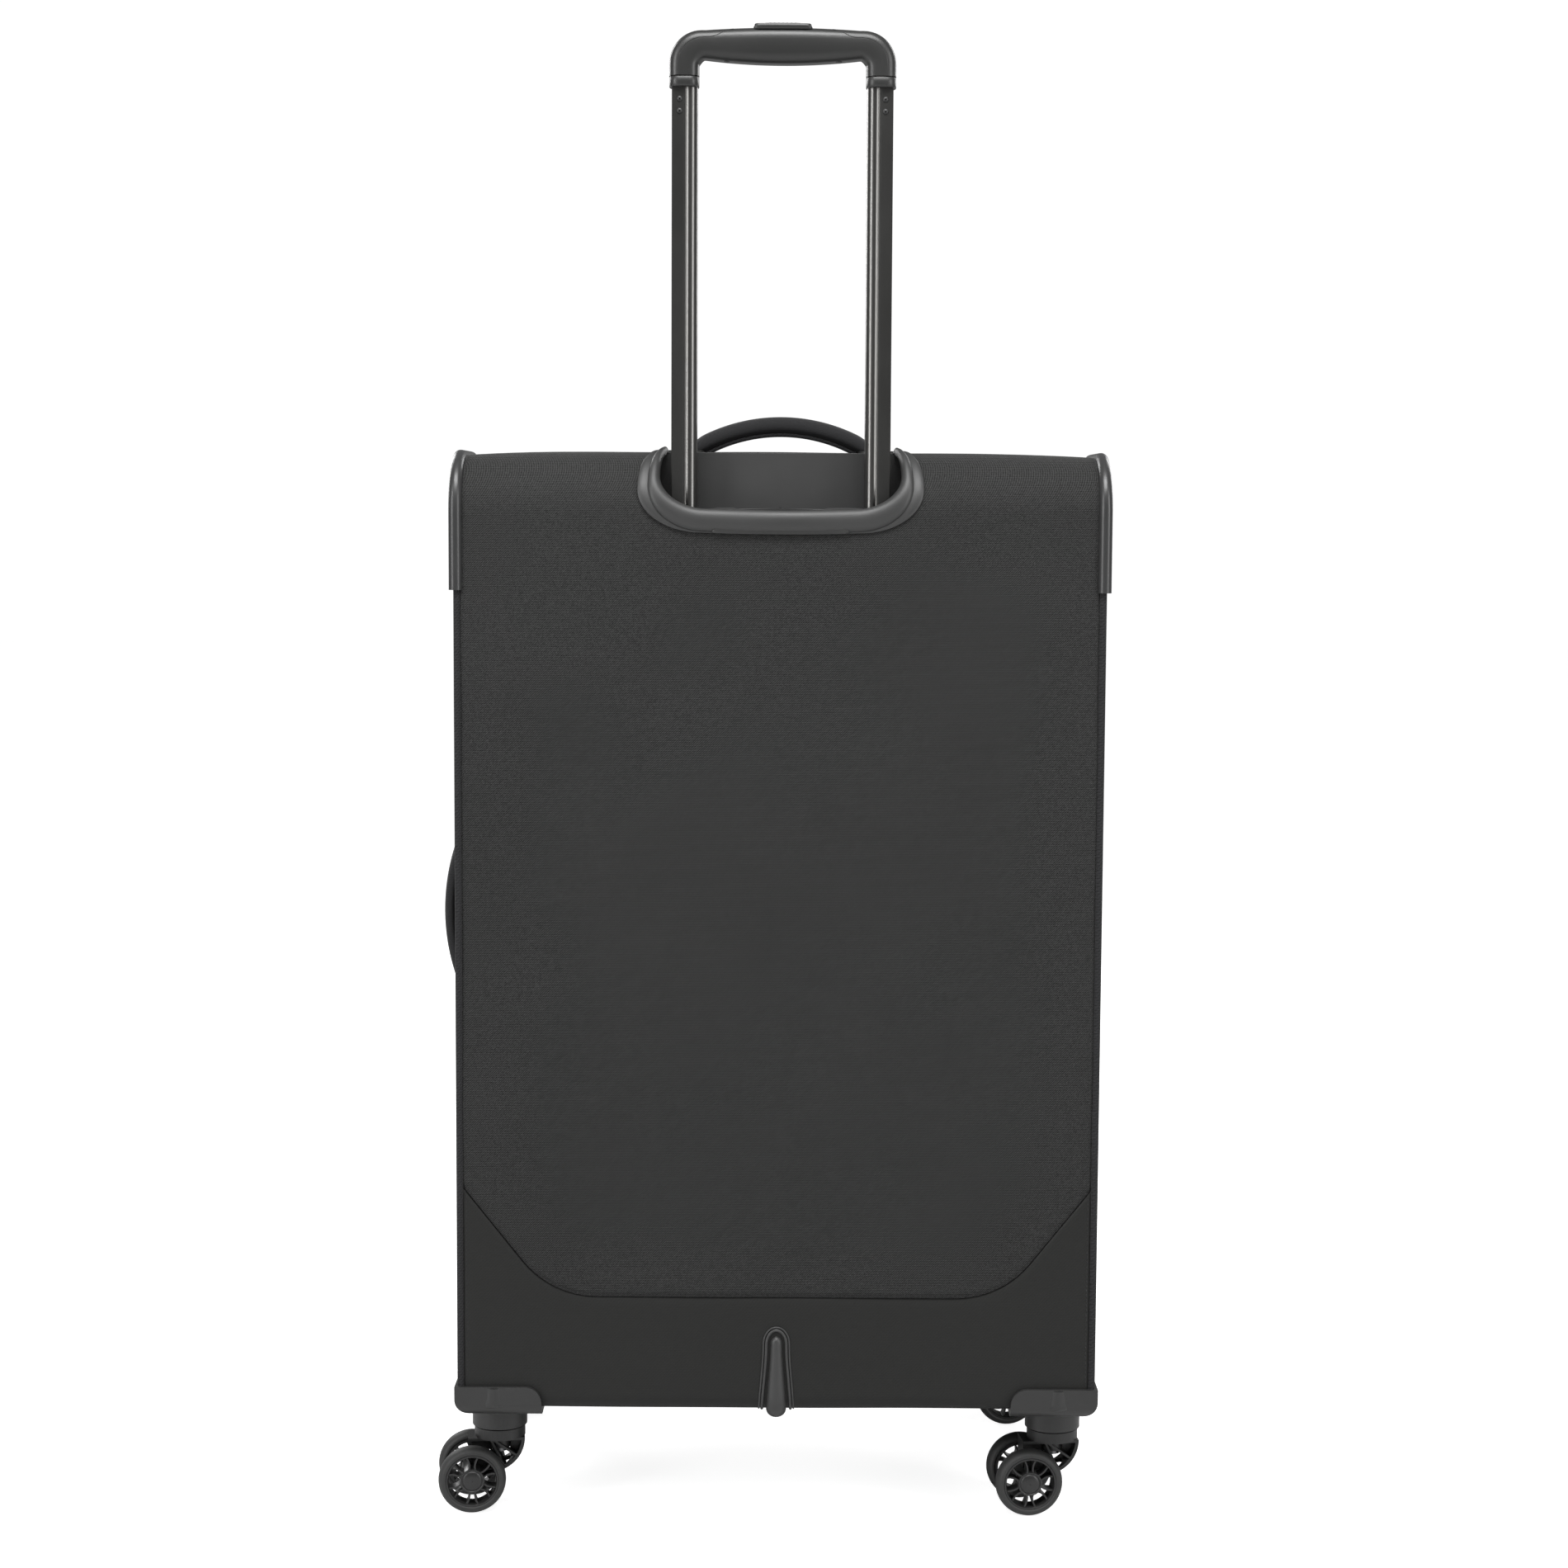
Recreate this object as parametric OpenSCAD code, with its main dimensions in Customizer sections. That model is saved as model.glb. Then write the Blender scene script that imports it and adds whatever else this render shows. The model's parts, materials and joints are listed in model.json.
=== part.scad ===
// Softside upright suitcase on four twin-wheel casters, with a locking trolley handle.
// Millimetres. +Z is up and z = 0 is the floor, x = 0 is the middle of the case.
// The rear, with the trolley handle, faces +Y. The lid with its pockets faces -Y. Right is +X.

/* [Case] */
// Width over the side panels
case_w = 467; // [440:1:500]
// Height of the case's top above the floor
case_top = 786; // [740:1:800]
// Height of the case's bottom above the floor
case_bottom = 85; // [84:1:88]
// Rear face of the case
rear_y = 156; // [150:1:160]
// Front face of the lid, behind the pockets
front_y = -132; // [-150:1:-125]
// Plane of the main zip, between the case and the lid
split_y = -80; // [-90:1:-75]
// Radius along the top rear edge and the top front edge
edge_r = 41; // [30:1:42]
// Radius along the bottom edges
foot_r = 12; // [8:1:14]
// Thickness of a padded panel
wall = 4; // [3:0.5:5]
// Radius of the piping cord
pipe_r = 2.5; // [2:0.1:3]
// Height of the front sill that carries the front wheels
sill_h = 22; // [20:1:26]
// Width of the zip tape on each side of the main zip
zip_w = 9; // [8:1:10]

/* [Lower panel] */
// Height of its seam at the sides
seam_side_z = 257; // [230:1:280]
// Height of its seam across the middle
seam_mid_z = 171; // [160:1:185]
// Half width of the level stretch, before its corners are rounded
seam_corner_x = 165; // [150:1:180]
// Radius of the seam's two corners
seam_r = 70; // [40:1:90]

/* [Trolley] */
// Distance of each tube from the middle
tube_x = 69.6; // [68:0.1:72]
// Distance of the tubes behind the middle plane
tube_y = 136; // [135:0.5:137]
// Width of an inner tube
tube_w = 18.6; // [18:0.1:19]
// Depth of an inner tube
tube_d = 15; // [14.8:0.1:15.5]
// Wall of every tube
tube_wall = 1.2; // [1:0.1:1.4]
// Height of the inner tubes' lower ends, handle out
tube_foot = 490; // [470:1:520]
// Height of the grip's top, handle out
grip_top = 1089; // [1070:1:1110]
// How far the handle goes in
trolley_travel = 301; // [280:1:302]
// Width over the grip
grip_w = 162; // [161.8:0.1:164]
// Depth of the grip
grip_d = 22; // [21:0.5:24]
// Travel of the release button
button_travel = 4; // [3.5:0.5:4]
// How far each lock bolt draws in
bolt_travel = 2; // [1.5:0.5:2]

/* [Casters] */
// Distance of each swivel axis from the middle
kingpin_x = 208; // [200:0.5:210]
// Rear swivel axes
rear_kingpin_y = 111; // [108:1:118]
// Front swivel axes
front_kingpin_y = -108; // [-110:1:-95]
// Direction in which the casters trail, from +X
caster_turn = 6; // [0:1:10]
// Trail of each wheel axle behind its swivel axis
trail = 21; // [18:0.5:22]
// Radius of a wheel
wheel_r = 25.2; // [24:0.1:25.5]
// Width of a wheel
wheel_w = 14; // [12:0.5:15]
// Distance of a wheel's middle from the fork's middle
wheel_y = 20; // [19.5:0.5:22]
// Radius of the axle
axle_r = 3; // [2.5:0.1:3.5]
// Radius of the kingpin
kingpin_r = 4; // [3.5:0.1:4.5]
// Radial clearance of a turning fit
running_gap = 0.05; // [0.02:0.01:0.1]

/* [Carry handles] */
// How far a carry handle lifts
lift = 8; // [6:1:8]
// Middle of the top handle, from front to rear
top_handle_y = 12; // [0:1:20]
// Height of the side handle's middle
side_handle_z = 438; // [400:1:480]

/* [Hidden] */
$fn = 64;
half = case_w / 2;
sill_top = case_bottom + sill_h;
lid_gap = 0.4;
lid_bottom = sill_top + lid_gap;
lid_back = split_y - lid_gap;
lid_foot_r = 3;
top_arc_z = case_top - edge_r;
tape = 1.2;
pipe_out = 1.5;
guard_out = 5.5;
wire_d = 3;
board_t = 3;
lining_t = 1.2;

// Half width, lowest and highest points of each pocket, and its zip's place and width
pockets = [[200, 492, 740], [212, 134, 470]];
pocket_y = front_y - 25;
pocket_zip_drop = 15;
pocket_zip_w = 10;
main_slider_z = [480, 430];

// Trolley cup: widths over its flange and inside, and its corner radii
cup_wide = 205;
cup_inner = 181;
cup_wall = 3;
cup_lip_d = 7;
cup_lip_r = 30;
cup_well_r = 6;

// Distance of each carry handle's tails from its middle
tail_x = 73;
tail_t = 3;
tail_gap = 0.4;
anchor_h = 3;

// Trolley heights, from the grip's top down
grip_under = grip_top - 25;
leg_end = grip_top - 35;
collar_end = grip_top - 42;
cup_floor = collar_end - trolley_travel;
cup_back = tube_y - 15;
grip_split = grip_top - 13;
leg_in = tube_x - tube_w / 2 - 1.1;
tube_gap = 0.5;
outer_tube_foot = case_bottom + 10;
outer_tube_top = cup_floor - 22;
bolt_r = 3;
bolt_z = tube_foot + 16;
bar_h = 4;
bar_z = grip_split - bar_h;
button_half = [14, 6];
spring_turns = 3;
spring_steps = 16 * spring_turns;
spring_sides = 6;
spring_r = 3.6;
spring_wire_r = 0.45;
rivet_z = [collar_end - 8.5, collar_end - 17];
rivet_x = 4.5;

// Casters: the corner mouldings' reach and height, then heights from the tower down
housing_w = 64;
housing_out = 3.5;
housing_lip = 5;
housing_rise = 18.4;
tower_r = 20.5;
housing_foot = 62;
pin_top = case_bottom - 1;
zip_foot = case_bottom + housing_rise + 0.2;
fork_top = 60.8;
fork_half = 11;
fork_floor = 53;
fork_reach = 13.5;
boss_end = 44;
tyre_in = 19.4;
hub_in = 9;

// Each corner's name, and its side: +1 is right or rear
corners = [
  ["rear_right", 1, 1],
  ["rear_left", -1, 1],
  ["front_right", 1, -1],
  ["front_left", -1, -1]
];
// Each wheel's name on its fork, and its side of the fork
twins = [["outer", 1], ["inner", -1]];

// ---- Helpers ----

// A flat outline (Y, Z) made solid from x0 to x1
module along_x(x0, x1) {
  translate([x0, 0, 0]) rotate([90, 0, 90]) linear_extrude(x1 - x0) children();
}

// A flat outline (X, Z) made solid from y0 to y1
module along_y(y0, y1) {
  translate([0, y1, 0]) rotate([90, 0, 0]) linear_extrude(y1 - y0) children();
}

// The box between two corners
module block(a, b) {
  translate(a) cube(b - a);
}

// The flat rectangle between two corners
module plate(a, b) {
  translate(a) square(b - a);
}

// What a round corner of radius r leaves out at p; dir points from p into the shape
module sharp_corner(p, r, dir) {
  c = p + r * dir;
  difference() {
    plate([min(p.x - dir.x, c.x), min(p.y - dir.y, c.y)],
          [max(p.x - dir.x, c.x), max(p.y - dir.y, c.y)]);
    translate(c) circle(r);
  }
}

// A flat rectangle with four round corners
module round_plate(a, b, r) {
  difference() {
    plate(a, b);
    sharp_corner(a, r, [1, 1]);
    sharp_corner(b, r, [-1, -1]);
    sharp_corner([a.x, b.y], r, [1, -1]);
    sharp_corner([b.x, a.y], r, [-1, 1]);
  }
}

module both_sides() {
  children();
  mirror([1, 0, 0]) children();
}

function arc(c, r, from, to, n) =
  [for (i = [0:n]) c + r * [cos(from + (to - from) * i / n), sin(from + (to - from) * i / n)]];

// ---- Case ----

// Side outline of the case behind the zip, with the front sill, drawn in by d
module case_outline(d) {
  difference() {
    union() {
      plate([split_y, case_bottom + d], [rear_y - d, case_top - d]);
      plate([front_y + d, case_bottom + d], [split_y + 1, sill_top]);
    }
    sharp_corner([rear_y - d, case_top - d], edge_r - d, [-1, -1]);
    sharp_corner([rear_y - d, case_bottom + d], foot_r - d, [-1, 1]);
    sharp_corner([front_y + d, case_bottom + d], foot_r - d, [1, 1]);
  }
}

module case_band(out, in) {
  difference() {
    case_outline(out);
    case_outline(in);
  }
}

module panel_skin() {
  along_x(wall - half, half - wall) case_band(0, wall);
}

// The trolley cup's outline from behind: level sides above, round corners below
module cup_outline(width, floor_z, r) {
  difference() {
    plate([-width / 2, floor_z], [width / 2, case_top + 60]);
    sharp_corner([-width / 2, floor_z], r, [1, 1]);
    sharp_corner([width / 2, floor_z], r, [-1, 1]);
  }
}

// The cup grown by d: a square well for the grip, behind a lip with rounder corners
module cup_gap(d) {
  along_y(cup_back - d, rear_y - cup_lip_d) cup_outline(cup_inner + 2 * d, cup_floor - d, cup_well_r + d);
  along_y(rear_y - cup_lip_d - 0.1, rear_y + 20)
    cup_outline(cup_inner + 2 * d, cup_floor - d, cup_lip_r + d);
}

// The rear panel above the seam, with the seam's two round corners
module above_seam() {
  slope = atan2(seam_side_z - seam_mid_z, half - seam_corner_x);
  c = [seam_corner_x - seam_r * tan(slope / 2), seam_mid_z + seam_r];
  right = concat(arc(c, seam_r, -90, slope - 90, 16), [[half, seam_side_z], [half, case_top]]);
  left = [for (i = [len(right) - 1:-1:0]) [-right[i].x, right[i].y]];
  polygon(concat(right, left));
}

module rear_panel() color("#2b2c2d") difference() {
  intersection() {
    panel_skin();
    along_y(rear_y - wall, rear_y) above_seam();
    block([-half, rear_y - wall, 0], [half, rear_y, top_arc_z]);
  }
  cup_gap(cup_wall);
}

module lower_panel() color("#303132") difference() {
  intersection() {
    panel_skin();
    block([-half, rear_y - foot_r, 0], [half, rear_y, seam_side_z]);
  }
  along_y(rear_y - wall - 1, rear_y + 1) above_seam();
}

module top_panel() color("#2b2c2d") difference() {
  intersection() {
    panel_skin();
    block([-half, split_y, top_arc_z], [half, rear_y, case_top]);
  }
  cup_gap(cup_wall);
  on_top() handle_slots(30);
}

module bottom_panel() color("#262728") intersection() {
  panel_skin();
  block([-half, front_y, 0], [half, rear_y - foot_r, sill_top]);
}

module side_panels() color("#2b2c2d") {
  difference() {
    along_x(half - wall, half) case_outline(0);
    on_side() handle_slots(28);
  }
  along_x(-half, wall - half) case_outline(0);
}

// Piping over the edge between each side panel and the rear and top panels
module piping() color("#1d1e1f") both_sides() intersection() {
  union() {
    along_x(half, half + pipe_out) case_band(-pipe_out, 1);
    along_x(half - 2 * pipe_r + pipe_out, half) case_band(-pipe_out, 0);
  }
  block([0, split_y + zip_w, sill_top], [half + 5, rear_y + 5, case_top + 5]);
}

// Moulded strips over the piping, round the two top rear corners
module corner_guards() color("#3a3b3c") both_sides() intersection() {
  union() {
    along_x(half - 2 * pipe_r + pipe_out, half + guard_out) case_band(1 - guard_out, -pipe_out);
    along_x(half + pipe_out, half + guard_out) case_band(1 - guard_out, wall);
  }
  block([0, 40, case_top - 95], [half + 10, rear_y + 10, case_top + 10]);
}

// The case's inside from behind, drawn in by d
module inner_frame(d, r) {
  round_plate([d - half, case_bottom + d], [half - d, case_top - d], r);
}

// Two spring steel hoops that hold the fabric out
module frame_wires() color("#6f7173") for (y = [split_y + 6, tube_y - 30])
  along_y(y, y + wire_d) difference() {
    inner_frame(wall, 20);
    inner_frame(wall + wire_d, 17);
  }

// Stiff board behind the rear panel
module back_board() color("#4a4a48") difference() {
  along_y(rear_y - wall - board_t, rear_y - wall)
    round_plate([8 - half, case_bottom + foot_r], [half - 8, top_arc_z - 4], 6);
  block([-cup_wide / 2, 0, cup_floor - 42], [cup_wide / 2, rear_y, case_top]);
}

// Lining between the packing space and the trolley tubes
module back_lining() color("#55585c") along_y(tube_y - 23, tube_y - 23 + lining_t) inner_frame(wall, 20);

module skid() color("#343536") intersection() {
  union() {
    along_x(-7.6, 7.6) difference() {
      plate([rear_y - 20, case_bottom - 6], [rear_y + 8, case_bottom + 57]);
      sharp_corner([rear_y + 8, case_bottom - 6], 10, [-1, 1]);
      polygon([[rear_y + 9, case_bottom + 20], [rear_y + 9, case_bottom + 58],
               [rear_y + 2, case_bottom + 58]]);
      case_outline(0);
    }
    along_x(-11, 11) difference() {
      plate([rear_y - 20, case_bottom - 2], [rear_y + 2, case_bottom + 61]);
      sharp_corner([rear_y + 2, case_bottom - 2], foot_r + 2, [-1, 1]);
      case_outline(0);
    }
  }
  along_y(rear_y - 20, rear_y + 20) polygon(concat(
    [[-11, 0], [11, 0], [11, case_bottom + 8]],
    arc([0, case_bottom + 54], 7, 0, 180, 12),
    [[-11, case_bottom + 8]]
  ));
}

// ---- Zips ----

// One side of the main zip: up the right side, over the top, and along the sill from z0 up by h
module zip_half(y0, z0, h) {
  block([half, y0, z0], [half + tape, y0 + zip_w, case_top]);
  block([-half, y0, case_top], [half + tape, y0 + zip_w, case_top + tape]);
  block([half, front_y, z0], [half + tape, y0 + zip_w, z0 + h]);
  block([-half, front_y - tape, z0], [half + tape, front_y, z0 + h]);
}

module case_zip() color("#18191a") zip_half(split_y, zip_foot, sill_top - zip_foot);

module lid_zips() color("#18191a") {
  zip_half(lid_back - zip_w, lid_bottom, 6);
  for (p = pockets)
    translate([0, 0, p[2] - pocket_zip_drop])
      block([12 - p[0], pocket_y - tape, -pocket_zip_w / 2], [p[0] - 12, pocket_y, pocket_zip_w / 2]);
}

// A zip slider with its tab's hinge pin, at the origin, on a face towards +X
module zip_slider() {
  block([0, -5, -7], [3.2, 5, 7]);
  for (y = [-4, 2.4])
    block([3.2, y, -3], [7.6, y + 1.6, 3]);
  translate([5.4, -4, 0]) rotate([-90, 0, 0]) cylinder(r = 1, h = 8);
}

module slider_at(z) {
  translate([half + tape + 0.3, split_y - lid_gap / 2, z]) zip_slider();
}

// A pull tab that hangs on the slider's pin, above the zip
module pull_tab(z) {
  translate([half + tape + 5.7, split_y - lid_gap / 2, z]) difference() {
    union() {
      rotate([90, 0, 0]) translate([0, 0, -2]) cylinder(r = 1.9, h = 4);
      block([-1.2, -2, -9], [1.2, 2, 0]);
      block([-1.2, -4, -32], [1.2, 4, -9]);
    }
    rotate([90, 0, 0]) translate([0, 0, -9]) cylinder(r = 1 + running_gap, h = 18);
  }
}

module main_slider_upper() color("#8a8c8e") slider_at(main_slider_z[0]);
module main_slider_lower() color("#8a8c8e") slider_at(main_slider_z[1]);
module pull_tab_upper() color("#5c5e60") pull_tab(main_slider_z[0]);
module pull_tab_lower() color("#5c5e60") pull_tab(main_slider_z[1]);

// ---- Lid and pockets ----

module lid_outline(d) {
  difference() {
    plate([front_y + d, lid_bottom + d], [lid_back + (d > 0 ? 1 : 0), case_top - d]);
    sharp_corner([front_y + d, case_top - d], edge_r - d, [1, -1]);
    sharp_corner([front_y + d, lid_bottom + d], max(lid_foot_r, d + 1) - d, [1, 1]);
  }
}

module lid_shell() color("#2b2c2d") difference() {
  along_x(-half, half) lid_outline(0);
  along_x(wall - half, half - wall) lid_outline(wall);
}

module pocket(p) {
  intersection() {
    along_y(pocket_y, front_y) round_plate([-p[0], p[1]], [p[0], p[2]], 24);
    along_x(-p[0], p[0]) difference() {
      plate([pocket_y, p[1]], [front_y, p[2]]);
      sharp_corner([pocket_y, p[1]], 12, [1, 1]);
      sharp_corner([pocket_y, p[2]], 8, [1, -1]);
    }
  }
}

module upper_pocket() color("#2d2e2f") pocket(pockets[0]);
module lower_pocket() color("#2d2e2f") pocket(pockets[1]);

module pocket_slider(p) {
  translate([p[0] - 30, pocket_y - tape - 0.3, p[2] - pocket_zip_drop]) {
    block([-7, -3.2, -5], [7, 0, 5]);
    block([-2.5, -5.4, -24], [2.5, -3.2, -2]);
    block([-4, -5.4, -34], [4, -3.2, -24]);
    block([-2.5, -5.4, -2], [2.5, -3.2, 2]);
  }
}

module pocket_slider_upper() color("#8a8c8e") pocket_slider(pockets[0]);
module pocket_slider_lower() color("#8a8c8e") pocket_slider(pockets[1]);

// ---- Carry handles ----

// An arched handle over a face at z = 0, drawn along X. Its two tails run down through slots,
// and stay in them when it lifts.
module carry_handle(rise, thick, width) {
  chord = 2 * tail_x + 27;
  r = (pow(chord / 2, 2) + pow(rise, 2)) / (2 * rise);
  intersection() {
    along_y(-width / 2, width / 2) translate([0, rise - r]) difference() {
      circle(r, $fn = 128);
      circle(r - thick, $fn = 128);
    }
    block([-chord, -width, anchor_h + 0.3], [chord, width, rise + 1]);
  }
  for (s = [-1, 1])
    translate([s * tail_x, 0, 0])
      block([-tail_t / 2, 3 - width / 2, -lift - 0.4], [tail_t / 2, width / 2 - 3, lift]);
}

module handle_slots(width) {
  gap = [tail_t / 2 + tail_gap, width / 2 - 3 + tail_gap];
  for (s = [-1, 1])
    translate([s * tail_x, 0, 0]) block([-gap.x, -gap.y, -20], [gap.x, gap.y, 20]);
}

// The plates round a handle's tails
module handle_plates(width) {
  size = [15, width / 2 + 4];
  difference() {
    for (s = [-1, 1])
      translate([s * tail_x, 0, 0]) block([-size.x, -size.y, 0], [size.x, size.y, anchor_h]);
    handle_slots(width);
  }
}

module on_top() {
  translate([0, top_handle_y, case_top]) children();
}

module on_side() {
  translate([half, top_handle_y, side_handle_z]) rotate([0, 90, 0]) children();
}

module top_handle() color("#2a2b2c") on_top() carry_handle(32, 14, 30);
module side_handle() color("#2a2b2c") on_side() carry_handle(25, 10, 28);

module handle_anchors() color("#1f2021") {
  on_top() handle_plates(30);
  on_side() handle_plates(28);
}

// ---- Trolley ----

// Outline of a tube round its own middle: square on the outside, half round on the inside
module tube_outline(d) {
  r = tube_d / 2;
  plate([r - tube_w / 2, -r - d], [tube_w / 2 + d, r + d]);
  translate([r - tube_w / 2, 0]) circle(r + d);
}

module tube(out, in, z0, z1) {
  translate([tube_x, tube_y, z0]) linear_extrude(z1 - z0) difference() {
    tube_outline(out);
    tube_outline(in);
  }
}

module tube_core(d, z0, z1) {
  translate([tube_x, tube_y, z0]) linear_extrude(z1 - z0) tube_outline(d);
}

module handle_recess() color("#303133") difference() {
  union() {
    intersection() {
      difference() {
        cup_gap(cup_wall);
        cup_gap(0);
      }
      along_x(-cup_wide, cup_wide) case_outline(0);
    }
    intersection() {
      along_y(cup_back - cup_wall, rear_y + 20) difference() {
        cup_outline(cup_wide, cup_floor - 15, 44);
        cup_outline(cup_inner, cup_floor, cup_lip_r);
      }
      along_x(-cup_wide, cup_wide) case_band(-1.8, 0);
    }
    both_sides() translate([tube_x, tube_y, cup_floor - 32.5]) block([-14.5, -14, 0], [14.5, 14, 30]);
  }
  both_sides() {
    tube_core(tube_gap, cup_floor - 60, cup_floor + 12);
    tube_core(tube_gap + tube_wall, cup_floor - 60, outer_tube_top);
    translate([tube_x + rivet_x, tube_y, cup_floor - 20]) block([-2.6, 0, 0], [2.6, tube_d / 2 + 1.4, 32]);
  }
}

// Fixed tubes, each with a long slot for its lock bolt
module outer_tubes() color("#4b4d4f") both_sides() difference() {
  tube(tube_gap + tube_wall, tube_gap, outer_tube_foot, outer_tube_top);
  translate([tube_x + tube_w / 2, tube_y, 0])
    block([0, -bolt_r - 0.4, bolt_z - trolley_travel - 6], [5, bolt_r + 0.4, bolt_z + 6]);
}

// Foot that ties both fixed tubes to the bottom panel
module tube_bracket() color("#222324") difference() {
  translate([0, tube_y, case_bottom + wall]) {
    block([-88, -12, 0], [88, 12, 12]);
    both_sides() translate([tube_x, 0, 0]) block([-15, -12, 0], [15, 12, 30]);
  }
  both_sides() tube_core(tube_gap + tube_wall, outer_tube_foot, case_bottom + 60);
  panel_skin();
}

module rivets(r, h) {
  for (z = rivet_z)
    translate([tube_x + rivet_x, tube_y + tube_d / 2 + 1 - h, z]) rotate([-90, 0, 0]) cylinder(r = r, h = h);
}

module inner_tubes() color("#5a5c5e") both_sides() difference() {
  tube(0, -tube_wall, tube_foot, grip_under + 3);
  translate([tube_x, tube_y, bolt_z]) rotate([0, 90, 0])
    cylinder(r = bolt_r + running_gap, h = tube_w);
  rivets(1.25, 4);
}

module tube_rivets() color("#7a7c7e") both_sides() {
  rivets(1.2, 3);
  rivets(2, 1);
}

// The grip's arch from behind, its outside drawn in by d and its inside by e
module grip_outline(d, e) {
  difference() {
    plate([d - grip_w / 2, leg_end], [grip_w / 2 - d, grip_top - d]);
    sharp_corner([d - grip_w / 2, grip_top - d], 24 - d, [1, -1]);
    sharp_corner([grip_w / 2 - d, grip_top - d], 24 - d, [-1, -1]);
    difference() {
      plate([-leg_in - e, leg_end - 1], [leg_in + e, grip_under + e]);
      sharp_corner([-leg_in - e, grip_under + e], 5, [1, -1]);
      sharp_corner([leg_in + e, grip_under + e], 5, [-1, -1]);
    }
  }
}

module grip_shell() {
  difference() {
    along_y(tube_y - grip_d / 2, tube_y + grip_d / 2) grip_outline(0, 0);
    intersection() {
      along_y(tube_y - grip_d / 2 + 2, tube_y + grip_d / 2 - 2) grip_outline(2, 2);
      block([-100, 0, grip_under + 2], [100, 200, grip_top]);
    }
    both_sides() tube_core(0, leg_end - 1, grip_under + 3);
    button_hole(bar_z);
  }
}

module button_hole(z0) {
  gap = button_half + [0.3, 0.3];
  translate([0, tube_y, 0]) block([-gap.x, -gap.y, z0], [gap.x, gap.y, grip_top + 1]);
}

module grip_base() color("#333435") intersection() {
  grip_shell();
  block([-100, 0, 0], [100, 200, grip_split]);
}

module grip_cover() color("#333435") {
  intersection() {
    grip_shell();
    block([-100, 0, grip_split], [100, 200, grip_top]);
  }
  difference() {
    block([-20, tube_y - 8, grip_top], [20, tube_y + 8, grip_top + 0.8]);
    button_hole(grip_top - 1);
  }
}

module grip_collars() color("#3b3c3e") both_sides() difference() {
  block([leg_in, tube_y - grip_d / 2, collar_end], [grip_w / 2, tube_y + grip_d / 2, leg_end]);
  tube_core(0, collar_end - 1, leg_end + 1);
}

module button() color("#2a2b2c")
  translate([0, tube_y, 0])
    block([-button_half.x, -button_half.y, bar_z + bar_h], [button_half.x, button_half.y, grip_top + 3]);

// The bar under the button, with a rod down each tube that ends in a wedge fork
module push_rods() color("#8b8d8f") {
  wedge = bolt_travel / button_travel;
  face = -2.7 + wedge * 4.5;
  block([-tube_x - 2, tube_y - 3, bar_z], [tube_x + 2, tube_y + 3, bar_z + bar_h]);
  both_sides() translate([tube_x, tube_y, bolt_z]) {
    block([-2, -2, 12], [2, 2, bar_z - bolt_z + 1]);
    block([-5.4, -5, 9.2], [6, 5, 13]);
    for (y = [-5, 3.4])
      translate([0, y, 0]) rotate([90, 0, 0]) mirror([0, 0, 1]) linear_extrude(1.6)
        polygon([[face + wedge * 6.8, -6.8], [6, -6.8], [6, 9.2], [face - wedge * 9.2 + 0.8, 9.2]]);
  }
}

// A bolt across its tube: head inside, shank out through the tube's wall
module lock_bolt() {
  translate([tube_x, tube_y, bolt_z]) rotate([0, 90, 0]) {
    translate([0, 0, -3]) cylinder(r = bolt_r, h = tube_w / 2 + tube_gap + tube_wall + 2.8);
    translate([0, 0, -4.2]) cylinder(r = 4.4, h = 1.2);
  }
}

module lock_bolt_right() color("#a3a5a7") lock_bolt();
module lock_bolt_left() color("#a3a5a7") mirror([1, 0, 0]) lock_bolt();

// Points round the spring's wire at step i of its coil
function spring_ring(i, low, climb) = [
  for (k = [0:spring_sides - 1])
    let (a = 360 * spring_turns * i / spring_steps)
    let (b = 360 * k / spring_sides)
    let (r = spring_r + spring_wire_r * cos(b))
    [r * cos(a), tube_y + r * sin(a), low + climb * i / spring_steps + spring_wire_r * sin(b)]
];

// Wire coil between the grip's floor and the bar
module button_spring() color("#a3a5a7") {
  low = grip_under + 2.5;
  climb = bar_z - 0.5 - low;
  n = spring_sides;
  polyhedron(
    points = [for (i = [0:spring_steps]) each spring_ring(i, low, climb)],
    faces = concat(
      [[for (k = [0:n - 1]) k]],
      [for (i = [0:spring_steps - 1], k = [0:n - 1])
        [i * n + k, i * n + n + k, i * n + n + (k + 1) % n, i * n + (k + 1) % n]],
      [[for (k = [n - 1:-1:0]) spring_steps * n + k]]
    )
  );
}

// ---- Casters ----

// Puts its children at a corner's swivel axis
module at_corner(c) {
  translate([c[1] * kingpin_x, c[2] > 0 ? rear_kingpin_y : front_kingpin_y, 0]) children();
}

module at_fork(c) {
  at_corner(c) rotate([0, 0, caster_turn]) children();
}

// Side view of a corner moulding that wraps round a face at edge
module wrap_outline(edge) {
  low = case_bottom - housing_lip;
  high = case_bottom + housing_rise;
  difference() {
    plate([edge - housing_w, low], [edge, high]);
    sharp_corner([edge, low], 14, [-1, 1]);
    sharp_corner([edge - housing_w, high], 12, [1, -1]);
  }
}

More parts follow.
